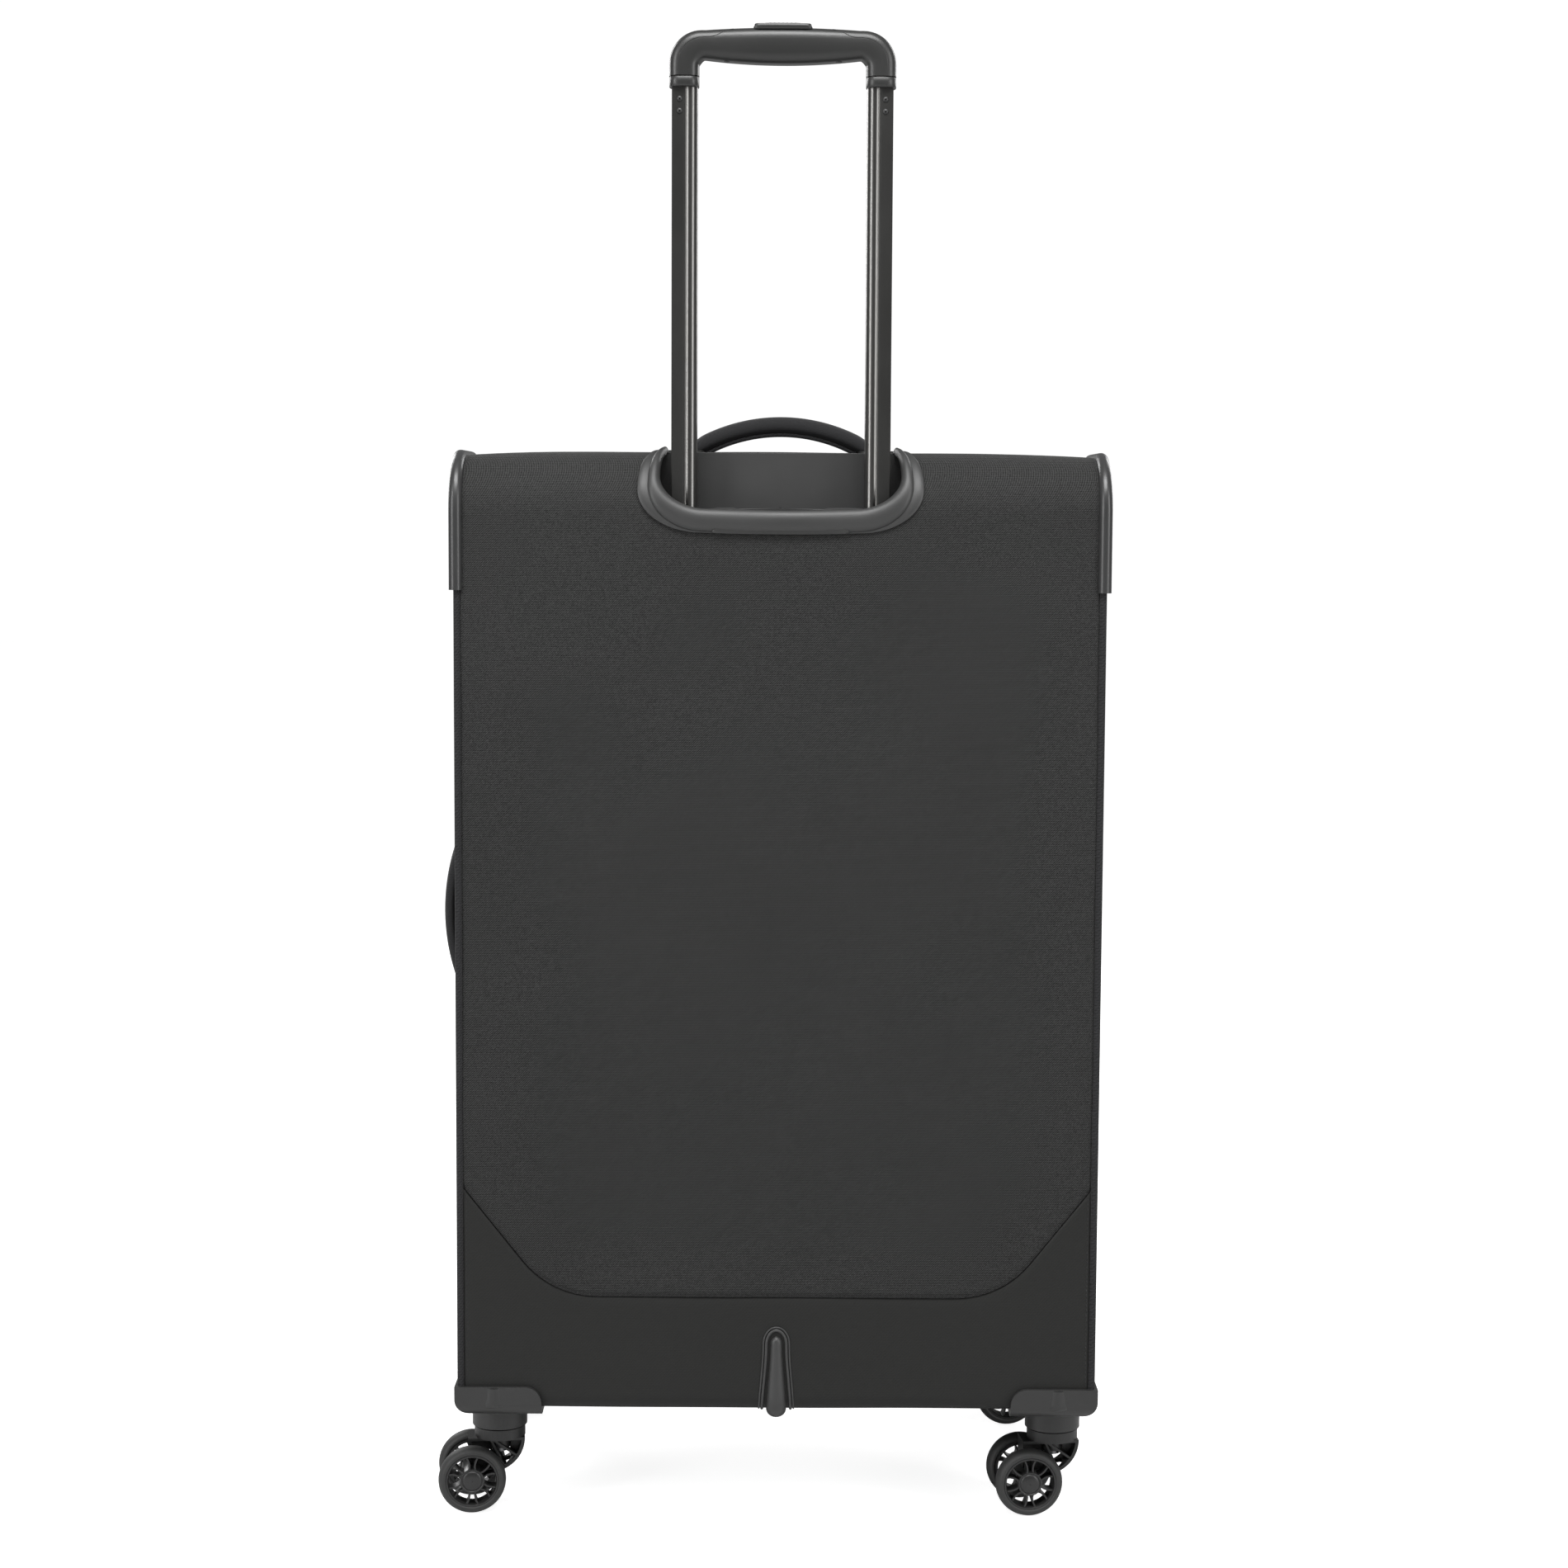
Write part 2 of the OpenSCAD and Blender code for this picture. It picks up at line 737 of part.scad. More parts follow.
// The right rear corner moulding, with its swivel tower at pin_y
module wheel_housing(pin_y) {
  x = half + housing_out;
  y = rear_y + housing_out;
  difference() {
    union() {
      intersection() {
        along_y(y - housing_w, y) wrap_outline(x);
        along_x(x - housing_w, x) wrap_outline(y);
      }
      translate([kingpin_x, pin_y, housing_foot]) {
        cylinder(r = tower_r, h = case_bottom - housing_foot);
        translate([0, 0, 14]) cylinder(r1 = tower_r, r2 = 23.5, h = case_bottom - housing_foot - 14);
      }
    }
    along_x(-half, half) case_outline(0);
    translate([kingpin_x, pin_y, housing_foot - 1]) cylinder(r = kingpin_r, h = pin_top - housing_foot + 1);
  }
}

module wheel_housings() color("#2e2f30") both_sides() {
  wheel_housing(rear_kingpin_y);
  translate([0, front_y + rear_y, 0]) mirror([0, 1, 0]) wheel_housing(front_y + rear_y - front_kingpin_y);
}

module kingpins() color("#b9bbbd") for (c = corners)
  at_corner(c) translate([0, 0, boss_end - 2.8]) {
    cylinder(r = kingpin_r, h = pin_top - boss_end + 2.8);
    cylinder(r = 6, h = 2.5);
  }

// The fork's side outline; the kingpin is at x = 0 and the axle at x = trail
module fork_outline(r) {
  intersection() {
    translate([trail - fork_reach, fork_floor]) circle(r);
    plate([-30, wheel_r], [trail + r - 23, fork_floor + 0.1]);
  }
}

// What each side of the fork is hollowed by, between its two ribs
module fork_pocket() {
  difference() {
    intersection() {
      fork_outline(23.5);
      plate([-30, wheel_r], [60, fork_floor - 2]);
    }
    for (a = [215, 245])
      translate([trail - fork_reach, fork_floor]) rotate(a) plate([0, -0.8], [40, 0.8]);
  }
}

module fork() color("#1f2021") {
  difference() {
    union() {
      translate([0, 0, fork_floor]) cylinder(r = 19, h = fork_top - fork_floor);
      difference() {
        along_y(-fork_half, fork_half) fork_outline(26);
        along_y(1.5, fork_half + 1) fork_pocket();
        along_y(-fork_half - 1, -1.5) fork_pocket();
      }
      along_y(-fork_half, fork_half) translate([trail, wheel_r]) circle(8);
      translate([0, 0, boss_end]) cylinder(r = 8, h = fork_floor - boss_end + 1);
    }
    translate([0, 0, boss_end - 1]) cylinder(r = kingpin_r + running_gap, h = 30);
    translate([0, 0, boss_end - 14]) cylinder(r = 8.2, h = 14);
    along_y(-40, 40) translate([trail, wheel_r]) circle(axle_r + running_gap);
  }
  axle_half = wheel_y + wheel_w / 2 - 1.6;
  along_y(-axle_half, axle_half) translate([trail, wheel_r]) circle(axle_r);
}

// Puts its children at a wheel's middle, with its outer face towards +Z
module at_wheel(c, t) {
  at_fork(c) translate([trail, t[1] * wheel_y, wheel_r]) rotate([-90 * t[1], 0, 0]) children();
}

module tyre() color("#26272a") rotate_extrude() difference() {
  plate([tyre_in, -wheel_w / 2], [wheel_r, wheel_w / 2]);
  sharp_corner([wheel_r, -wheel_w / 2], 2.5, [-1, 1]);
  sharp_corner([wheel_r, wheel_w / 2], 2.5, [-1, -1]);
}

// A hub with six pairs of spokes and a closed outer face over the axle's end
module hub() color("#17181a") {
  rotate_extrude() {
    plate([tyre_in - 2, -wheel_w / 2 + 0.5], [tyre_in, wheel_w / 2 - 0.5]);
    plate([axle_r + running_gap, -wheel_w / 2], [hub_in, wheel_w / 2 - 0.6]);
  }
  translate([0, 0, wheel_w / 2 - 1.2]) cylinder(r = 7.5, h = 1.2);
  for (k = [0:5], lean = [-1, 1])
    rotate(60 * k) translate([hub_in - 1, lean * 1.6, 1 - wheel_w / 2]) rotate(lean * 14)
      translate([0, -0.8, 0]) cube([10, 1.6, wheel_w - 3]);
}

// ---- Drawing ----

rear_panel();
lower_panel();
top_panel();
bottom_panel();
side_panels();
piping();
corner_guards();
frame_wires();
back_board();
back_lining();
handle_recess();
outer_tubes();
tube_bracket();
skid();
wheel_housings();
kingpins();
handle_anchors();
case_zip();
inner_tubes();
grip_cover();
grip_base();
grip_collars();
tube_rivets();
button_spring();
button();
push_rods();
lock_bolt_left();
lock_bolt_right();
top_handle();
side_handle();
lid_shell();
upper_pocket();
lower_pocket();
lid_zips();
main_slider_upper();
main_slider_lower();
pull_tab_upper();
pull_tab_lower();
pocket_slider_upper();
pocket_slider_lower();
for (c = corners) {
  at_fork(c) fork();
  for (t = twins) {
    at_wheel(c, t) hub();
    at_wheel(c, t) tyre();
  }
}
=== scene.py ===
"""The looks of a softside upright suitcase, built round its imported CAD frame.

Shapes are worked out in millimetres and become metres when a mesh is made.
The rear, with the trolley handle, faces +Y; the lid and its pockets face -Y; right is +X.
"""
import json
import math

import bmesh
import bpy
from mathutils import Matrix, Vector


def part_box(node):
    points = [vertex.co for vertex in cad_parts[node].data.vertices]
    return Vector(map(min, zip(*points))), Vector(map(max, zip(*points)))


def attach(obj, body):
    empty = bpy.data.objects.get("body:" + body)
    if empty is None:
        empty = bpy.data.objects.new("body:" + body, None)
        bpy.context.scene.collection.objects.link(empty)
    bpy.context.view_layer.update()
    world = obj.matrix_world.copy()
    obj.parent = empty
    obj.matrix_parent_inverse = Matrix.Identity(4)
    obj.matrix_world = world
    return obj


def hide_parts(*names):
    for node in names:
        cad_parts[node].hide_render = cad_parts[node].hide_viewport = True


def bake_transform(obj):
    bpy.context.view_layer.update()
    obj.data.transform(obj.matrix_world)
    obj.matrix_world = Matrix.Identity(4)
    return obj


MM = 0.001
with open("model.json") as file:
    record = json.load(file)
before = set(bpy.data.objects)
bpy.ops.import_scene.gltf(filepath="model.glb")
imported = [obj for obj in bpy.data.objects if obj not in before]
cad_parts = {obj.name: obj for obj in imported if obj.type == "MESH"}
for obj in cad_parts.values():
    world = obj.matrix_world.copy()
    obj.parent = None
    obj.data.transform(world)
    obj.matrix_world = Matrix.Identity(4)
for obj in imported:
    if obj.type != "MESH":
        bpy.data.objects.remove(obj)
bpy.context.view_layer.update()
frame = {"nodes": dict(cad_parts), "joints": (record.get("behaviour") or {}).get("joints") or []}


def box(node):
    """A CAD node's lowest and highest corner, in millimetres."""
    low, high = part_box(node)
    return low / MM, high / MM


# ---- Sizes, from the frame where it has them ----
CASE_LOW, CASE_HIGH = box("side_panels")
LID_LOW, LID_HIGH = box("lid_shell")
HALF = CASE_HIGH.x
TOP = CASE_HIGH.z
BOTTOM = CASE_LOW.z
REAR = CASE_HIGH.y
FRONT = CASE_LOW.y
SPLIT = LID_HIGH.y + 0.4
SILL = LID_LOW.z - 0.4
EDGE_R = 41
FOOT_R = 12
LID_FOOT_R = 4
PIPE_R = 2.5
SKIN = 2.0
SEAM_SIDE_Z = 257
SEAM_MID_Z = 171
SEAM_CORNER_X = 165
SEAM_R = 70
ZIP_TAPE = 9
WHEEL_R = 25.2
WHEEL_W = 14
WHEEL_Y = 20
TYRE_IN = 19.4
TUBE_X = 69.6
TUBE_Y = 136
TUBE_D = 15
FORK_TURN = math.radians(6)
TRAIL = 21
TRAVEL = 301
HANDLE_CHORD = 173
HANDLE_TAIL = 73
FOOT_END = BOTTOM + FOOT_R - FOOT_R * math.pi / 2
SWIVELS = {j["name"].removeprefix("swivel_"): (j["pos_m"][0] / MM, j["pos_m"][1] / MM)
           for j in frame["joints"] if j["name"].startswith("swivel_")}


# ---- Small helpers ----
def smooth_step(a, b, t):
    k = min(1, max(0, (t - a) / (b - a)))
    return k * k * (3 - 2 * k)


def lerp(a, b, t):
    return a + (b - a) * t


def spread(a, b, step):
    """Even values from a to b, at most step apart."""
    n = max(1, math.ceil(abs(b - a) / step))
    return [lerp(a, b, i / n) for i in range(n + 1)]


def arc_points(cx, cy, rx, ry, start, end, n):
    """Points of an elliptical arc, with its angles in degrees."""
    angles = [math.radians(lerp(start, end, i / n)) for i in range(n + 1)]
    return [(cx + rx * math.cos(a), cy + ry * math.sin(a)) for a in angles]


def grid_faces(rows, columns, wrap_columns=False, wrap_rows=False):
    """Quads between the points of a grid that is stored row by row."""
    faces = []
    for i in range(rows if wrap_rows else rows - 1):
        for j in range(columns if wrap_columns else columns - 1):
            a, b = i * columns, (i + 1) % rows * columns
            k = (j + 1) % columns
            faces.append((a + j, a + k, b + k, b + j))
    return faces


def circle(n):
    """The cosine and sine of n even steps round a circle."""
    return [(math.cos(2 * math.pi * k / n), math.sin(2 * math.pi * k / n)) for k in range(n)]


def along(line, closed=False):
    """The points of a flat line, each with the line's direction there."""
    result = []
    last = len(line) - 1
    for i, p in enumerate(line):
        a = line[i - 1] if closed or i > 0 else p
        b = line[(i + 1) % len(line)] if closed or i < last else p
        d = Vector((b[0] - a[0], b[1] - a[1]))
        if d.length > 1e-6:
            result.append((p, d.normalized()))
    return result


BOX_FACES = [(0, 1, 3, 2), (4, 6, 7, 5), (0, 4, 5, 1), (2, 3, 7, 6), (0, 2, 6, 4), (1, 5, 7, 3)]


class Shape:
    """Points and faces that several builders add to, before they become one mesh."""

    def __init__(self):
        self.points = []
        self.faces = []
        self.marks = []

    def add(self, points, faces, mark=0):
        start = len(self.points)
        self.points += [tuple(p) for p in points]
        self.faces += [tuple(start + i for i in f) for f in faces]
        self.marks += [mark] * len(faces)

    def loft(self, rings, closed=True, caps=True, mark=0):
        """A skin over rings that all have the same number of points."""
        n = len(rings[0])
        faces = grid_faces(len(rings), n, wrap_columns=closed)
        if caps and closed:
            faces.append(tuple(range(n)))
            faces.append(tuple(range((len(rings) - 1) * n, len(rings) * n)))
        self.add([p for ring in rings for p in ring], faces, mark)

    def lathe(self, profile, place, steps):
        """A closed (radius, height) profile turned about Z, then placed by a matrix."""
        self.add([place @ Vector((r * c, r * s, h)) for c, s in circle(steps) for r, h in profile],
                 grid_faces(steps, len(profile), wrap_columns=True, wrap_rows=True))

    def block(self, low, high, place=Matrix.Identity(4)):
        """A box between two corners, placed by a matrix."""
        self.add([place @ Vector((x, y, z)) for x in (low[0], high[0]) for y in (low[1], high[1])
                  for z in (low[2], high[2])], BOX_FACES)


def piece(name, shape, body, materials, replaces=(), bevel=0, thickness=0, sharp=40):
    """Makes a Shape into an object that rides on a body, or on none yet."""
    mesh = bpy.data.meshes.new(name)
    mesh.from_pydata([(x * MM, y * MM, z * MM) for x, y, z in shape.points], [], shape.faces)
    for material in materials if isinstance(materials, list) else [materials]:
        mesh.materials.append(material)
    mesh.polygons.foreach_set("material_index", shape.marks)
    work = bmesh.new()
    work.from_mesh(mesh)
    bmesh.ops.remove_doubles(work, verts=work.verts, dist=1e-6)
    bmesh.ops.recalc_face_normals(work, faces=work.faces)
    work.to_mesh(mesh)
    work.free()
    mesh.shade_smooth()
    mesh.set_sharp_from_angle(angle=math.radians(sharp))
    obj = bpy.data.objects.new(name, mesh)
    bpy.context.scene.collection.objects.link(obj)
    if thickness:
        shell = obj.modifiers.new("thickness", "SOLIDIFY")
        shell.thickness = thickness * MM
        shell.offset = -1
    if bevel:
        edge = obj.modifiers.new("edges", "BEVEL")
        edge.width = bevel * MM
        edge.segments = 2
        edge.limit_method = "ANGLE"
        edge.angle_limit = math.radians(40)
    if body:
        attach(obj, body)
    if replaces:
        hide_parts(*replaces)
    return obj


class Wrap:
    """A run of straight lines and round corners in the Y-Z plane, that skins are laid on.

    Places along it are named by s, which equals z along the run named main. out is the
    height above it, towards the outside.
    """

    def __init__(self, corners, side, main):
        self.side = side
        self.runs = []
        here = Vector(corners[0][:2])
        total = 0
        for i in range(1, len(corners)):
            p = Vector(corners[i][:2])
            r = corners[i][2]
            into = (p - here).normalized()
            if r == 0:
                self.runs.append(("line", total, (p - here).length, here, into))
                total += (p - here).length
                here = p
                continue
            away = (Vector(corners[i + 1][:2]) - p).normalized()
            turn = math.atan2(into.x * away.y - into.y * away.x, into.dot(away))
            cut = r * math.tan(abs(turn) / 2)
            a = p - into * cut
            self.runs.append(("line", total, (a - here).length, here, into))
            total += (a - here).length
            sign = 1 if turn > 0 else -1
            centre = a + Vector((-into.y, into.x)) * r * sign
            self.runs.append(("arc", total, r * abs(turn), centre, (a - centre, sign / r)))
            total += r * abs(turn)
            here = p + away * cut
        self.total = total
        kind, start, length, at, along = self.runs[main]
        self.zero = start - at.y

    def ends(self):
        return -self.zero, self.total - self.zero

    def at(self, s, out=0):
        """(y, z) at place s, out above the surface."""
        s = s + self.zero
        run = self.runs[0]
        for candidate in self.runs:
            if s >= candidate[1]:
                run = candidate
        kind, start, length, base, data = run
        if kind == "line":
            point = base + data * (s - start)
            along = data
        else:
            arm, rate = data
            spun = Matrix.Rotation(rate * (s - start), 2) @ arm
            point = base + spun
            along = Vector((-spun.y, spun.x)) * rate
        normal = Vector((along.y, -along.x)) * self.side
        point = point + normal * out
        return point.x, point.y

    def point(self, x, s, out=0):
        y, z = self.at(s, out)
        return (x, y, z)


body_wrap = Wrap(
    [(FRONT, SILL, 0), (FRONT, BOTTOM, FOOT_R), (REAR, BOTTOM, FOOT_R), (REAR, TOP, EDGE_R), (SPLIT, TOP, 0)], 1, 4)
lid_wrap = Wrap(
    [(SPLIT - 0.4, LID_LOW.z, 0), (FRONT, LID_LOW.z, LID_FOOT_R), (FRONT, TOP, EDGE_R), (SPLIT - 0.4, TOP, 0)], -1, 2)
BODY_START, BODY_END = body_wrap.ends()
LID_START, LID_END = lid_wrap.ends()
TOP_FLAT = TOP - EDGE_R + EDGE_R * math.pi / 2


# ---- Materials ----
class Look:
    """A shader with its constant values on its own sockets, and helpers to build on."""

    def __init__(self, name, colour, roughness, metallic=0.0, sheen=0.0, specular=0.5):
        self.colour = colour
        self.roughness = roughness
        self.material = bpy.data.materials.new(name)
        self.material.use_nodes = True
        self.tree = self.material.node_tree
        self.inputs = self.tree.nodes["Principled BSDF"].inputs
        for socket, value in (("Base Color", (*colour, 1)), ("Roughness", roughness), ("Metallic", metallic),
                              ("Sheen Weight", sheen), ("Sheen Roughness", 0.5), ("Specular IOR Level", specular)):
            self.inputs[socket].default_value = value

    def node(self, kind, sockets=()):
        """A new node whose sockets are set to numbers, or linked to other nodes' outputs."""
        node = self.tree.nodes.new(kind)
        for socket, value in sockets:
            if isinstance(value, bpy.types.NodeSocket):
                self.tree.links.new(value, node.inputs[socket])
            else:
                node.inputs[socket].default_value = value
        return node

    def coordinates(self, scale=(1, 1, 1)):
        """Object coordinates stretched by scale."""
        where = self.node("ShaderNodeTexCoord").outputs["Object"]
        return self.node("ShaderNodeMapping", (("Scale", scale), ("Vector", where))).outputs["Vector"]

    def noise(self, vector, scale, detail):
        tex = self.node("ShaderNodeTexNoise", (("Scale", scale), ("Detail", detail), ("Vector", vector)))
        return tex.outputs["Fac"]

    def wave(self, vector, period, direction):
        """Even ridges, period millimetres apart."""
        spacing = 10 if direction == "DIAGONAL" else 20
        tex = self.node("ShaderNodeTexWave", (("Scale", 2 * math.pi / (spacing * period * MM)), ("Vector", vector)))
        tex.bands_direction = direction
        return tex.outputs["Fac"]

    def maths(self, kind, *values):
        node = self.node("ShaderNodeMath", enumerate(values))
        node.operation = kind
        return node.outputs["Value"]

    def tint(self, factor, dark, light):
        """Varies the colour between two multiples of itself."""
        mix = self.node("ShaderNodeMix")
        mix.data_type = "RGBA"
        for socket, level in (("A", dark), ("B", light)):
            mix.inputs[socket].default_value = (*(c * level for c in self.colour), 1)
        self.tree.links.new(factor, mix.inputs["Factor"])
        self.tree.links.new(mix.outputs["Result"], self.inputs["Base Color"])

    def gloss(self, factor, amount):
        """Varies the roughness evenly about its own value."""
        level = self.maths("MULTIPLY_ADD", factor, amount, self.roughness - amount / 2)
        self.tree.links.new(level, self.inputs["Roughness"])

    def bump(self, height, distance):
        node = self.node("ShaderNodeBump", (("Distance", distance * MM), ("Strength", 1.0), ("Height", height)))
        self.tree.links.new(node.outputs["Normal"], self.inputs["Normal"])


def woven(name, colour, rib, slant, depth, contrast, roughness=0.82, sheen=0.25):
    """Woven cloth: fine ribs crossed by a slanting twill, with uneven yarn."""
    look = Look(name, colour, roughness, sheen=sheen, specular=0.2)
    plain = look.coordinates()
    twill = look.maths("MULTIPLY", look.wave(plain, slant, "DIAGONAL"), 0.55)
    weave = look.maths("MULTIPLY_ADD", look.wave(plain, rib, "Z"), 0.45, twill)
    yarn = look.noise(plain, 850, 2)
    mixed = look.maths("MULTIPLY_ADD", yarn, 0.9, look.maths("MULTIPLY", weave, 0.9))
    broad = look.noise(plain, 9, 2)
    toned = look.maths("MULTIPLY_ADD", broad, 0.12, look.maths("SUBTRACT", mixed, 0.46))
    look.tint(toned, 1 - contrast, 1 + contrast)
    look.bump(look.maths("MULTIPLY_ADD", yarn, 0.4, weave), depth)
    return look.material


def moulded(name, colour, roughness, grain):
    """Moulded plastic or rubber: fine grain, with slightly uneven gloss and tone."""
    look = Look(name, colour, roughness)
    plain = look.coordinates()
    broad = look.noise(plain, 22, 3)
    look.tint(broad, 0.88, 1.12)
    look.gloss(broad, 0.16)
    look.bump(look.noise(plain, 1600, 2), grain)
    return look.material


def metal(name, colour, roughness, streak=(40, 40, 1), uneven=0.1):
    """Drawn or plated metal with fine streaks along its length."""
    look = Look(name, colour, roughness, metallic=1.0)
    drawn = look.noise(look.coordinates(streak), 60, 3)
    look.tint(drawn, 1 - uneven, 1 + uneven)
    look.gloss(drawn, uneven)
    return look.material


TWILL = woven("twill", (0.0195, 0.0197, 0.0194), 1.3, 1.7, 0.22, 0.95, sheen=0.03)
COATED = woven("coated_cloth", (0.0135, 0.0136, 0.013), 1.2, 2.6, 0.03, 0.12, roughness=0.55, sheen=0.0)
TAPE = woven("piping_tape", (0.016, 0.016, 0.017), 1.9, 3.0, 0.25, 0.4, sheen=0.05)
ZIP_CLOTH = woven("zip_cloth", (0.014, 0.014, 0.015), 0.9, 1.8, 0.08, 0.2)
LINING = woven("lining_cloth", (0.085, 0.09, 0.098), 1.1, 1.6, 0.05, 0.15, roughness=0.6, sheen=0.3)
BOUND = woven("handle_cloth", (0.018, 0.018, 0.019), 1.3, 1.7, 0.1, 0.3, sheen=0.05)
THREAD = woven("thread", (0.012, 0.012, 0.012), 0.6, 0.8, 0.05, 0.2)
GUARD = moulded("guard_plastic", (0.026, 0.0262, 0.0265), 0.34, 0.02)
SATIN = moulded("satin_plastic", (0.028, 0.0282, 0.028), 0.48, 0.035)
GRIP = moulded("grip_plastic", (0.018, 0.0182, 0.0178), 0.38, 0.03)
MATT = moulded("matt_plastic", (0.016, 0.016, 0.0158), 0.46, 0.05)
DARK = moulded("dark_plastic", (0.009, 0.009, 0.009), 0.45, 0.04)
HUB = moulded("hub_plastic", (0.012, 0.012, 0.012), 0.34, 0.02)
TYRE = moulded("tyre_rubber", (0.017, 0.0172, 0.0168), 0.6, 0.05)
TOOTH = moulded("zip_teeth", (0.012, 0.012, 0.013), 0.35, 0.01)
BOARD = moulded("grey_board", (0.12, 0.12, 0.11), 0.6, 0.05)
TUBE_MATT = moulded("tube_matt", (0.014, 0.0138, 0.013), 0.36, 0.01)
TUBE_BRIGHT = metal("tube_bright", (0.13, 0.128, 0.124), 0.3, (8, 8, 0.2), 0.04)
STEEL = metal("plated_steel", (0.62, 0.60, 0.57), 0.28)
GUNMETAL = metal("gunmetal", (0.16, 0.16, 0.165), 0.34, (8, 8, 8))


# ---- Case fabric ----
def seam_height(x):
    """Height of the seam between the twill and the coated panel at x."""
    x = abs(x)
    slope = math.atan2(SEAM_SIDE_Z - SEAM_MID_Z, HALF - SEAM_CORNER_X)
    cut = SEAM_R * math.tan(slope / 2)
    first = SEAM_CORNER_X - cut
    last = SEAM_CORNER_X + cut * math.cos(slope)
    if x <= first:
        return SEAM_MID_Z
    if x >= last:
        return SEAM_MID_Z + (x - SEAM_CORNER_X) * math.tan(slope)
    return SEAM_MID_Z + SEAM_R - math.sqrt(SEAM_R**2 - (x - first) ** 2)


def ripple(u, v):
    """The slow unevenness of cloth over foam, in millimetres."""
    return (0.35 * math.sin(u / 57 + 0.7) * math.sin(v / 71 + 1.3) + 0.18 * math.sin(u / 23 + v / 31)
            + 0.1 * math.sin(v / 13 - u / 41 + 2))


def seam_dip(distance, depth=1.1, reach=4.0):
    return -depth * math.exp(-((distance / reach) ** 2))


def crown(x, s):
    """The rise of the padded top between its corners."""
    return 3.2 * (1 - (x / HALF) ** 6) * smooth_step(TOP_FLAT - 40, TOP_FLAT + 5, s)


SHEET_X = HALF - 1.5


def sheet(wrap, low, high, out, rows, half_width=SHEET_X, columns=92, keep=None):
    """A skin laid on a wrap from low(x) to high(x), with faces only where keep(x, s) says."""
    shape = Shape()
    xs = [half_width * math.sin(math.radians(lerp(-90, 90, j / columns))) * 0.25
          + lerp(-half_width, half_width, j / columns) * 0.75 for j in range(columns + 1)]
    places = []
    for i in range(rows + 1):
        for x in xs:
            places.append((x, lerp(low(x), high(x), i / rows)))
    faces = grid_faces(rows + 1, columns + 1)
    if keep:
        faces = [f for f in faces if any(keep(*places[i]) for i in f)]
    used = sorted({i for f in faces for i in f})
    index = {old: new for new, old in enumerate(used)}
    points = [wrap.point(places[i][0], places[i][1], out(*places[i])) for i in used]
    shape.add(points, [tuple(index[i] for i in f) for f in faces])
    return shape


def twill_height(x, s):
    edge = seam_dip(SHEET_X - abs(x)) + seam_dip(s - seam_height(x), 0.5, 3)
    return ripple(x, s) + edge + crown(x, s)


def coated_height(x, s):
    return 0.5 * ripple(x, s) + seam_dip(SHEET_X - abs(x)) + seam_dip(seam_height(x) - s, 1.3, 4)


# ---- Trolley cup outlines: half width at place s above, and its lower corner ----
CUP_TOP_S = TOP - EDGE_R + 61
CUP_WELL_HALF = 90.2
CUP_WELL_LOW = box("grip_collars")[0].z - TRAVEL - 0.5


class Outline:
    """A D-shaped line round the trolley cup, as (x, s) points from top left to top right."""

    def __init__(self, half_width, draw_in, corner_x, corner_s, low):
        self.half_width = half_width
        self.draw_in = draw_in
        self.corner = (corner_x, corner_s)
        self.low = low

    def half_at(self, s):
        rise = max(0, s - self.corner[1]) / (CUP_TOP_S - self.corner[1])
        return self.half_width - self.draw_in * rise**2.2

    def points(self):
        cx, cs = self.corner
        right = [(self.half_at(s), s) for s in spread(CUP_TOP_S, cs, 3)]
        right += arc_points(cx, cs, self.half_width - cx, cs - self.low - 1, 0, -90, 20)[1:]
        right += [(x, self.low + (x / cx) ** 2) for x in spread(cx, 0, 8)[1:]]
        left = [(-x, s) for x, s in right[:-1]]
        return left + right[::-1]

    def holds(self, x, s):
        cx, cs = self.corner
        if s >= cs:
            return abs(x) < self.half_at(s)
        if s < self.low or abs(x) > self.half_width:
            return False
        if abs(x) <= cx:
            return True
        return ((abs(x) - cx) / (self.half_width - cx)) ** 2 + ((s - cs) / (cs - self.low)) ** 2 < 1


CUP_OUTER = Outline(103, 12, 58, 762, 730)
CUP_STEP = Outline(95.5, 9, 55, 765, 731)
CUP_CREST = Outline(91.5, 7, 54, 769, 738)
CUP_INNER = Outline(87, 5.5, 53, 773, 747)
CUP_HIDDEN = Outline(98, 12, 56, 763, 736)


def rear_skin():
    shape = sheet(body_wrap, seam_height, lambda x: BODY_END - ZIP_TAPE, twill_height, 190,
                  keep=lambda x, s: not (CUP_HIDDEN.holds(x, s) and s < CUP_TOP_S + 4))
    piece("rear_fabric", shape, "case", TWILL, ("rear_panel", "top_panel"), thickness=SKIN)


def lower_skin():
    shape = sheet(body_wrap, lambda x: FOOT_END, seam_height, coated_height, 46)
    piece("lower_fabric", shape, "case", COATED, ("lower_panel",), thickness=SKIN)


def bottom_skin():
    shape = sheet(body_wrap, lambda x: BODY_START, lambda x: FOOT_END,
                  lambda x, s: 0.6 * ripple(x, s) + seam_dip(SHEET_X - abs(x)), 50, columns=40)
    piece("bottom_fabric", shape, "case", COATED, ("bottom_panel",), thickness=SKIN)


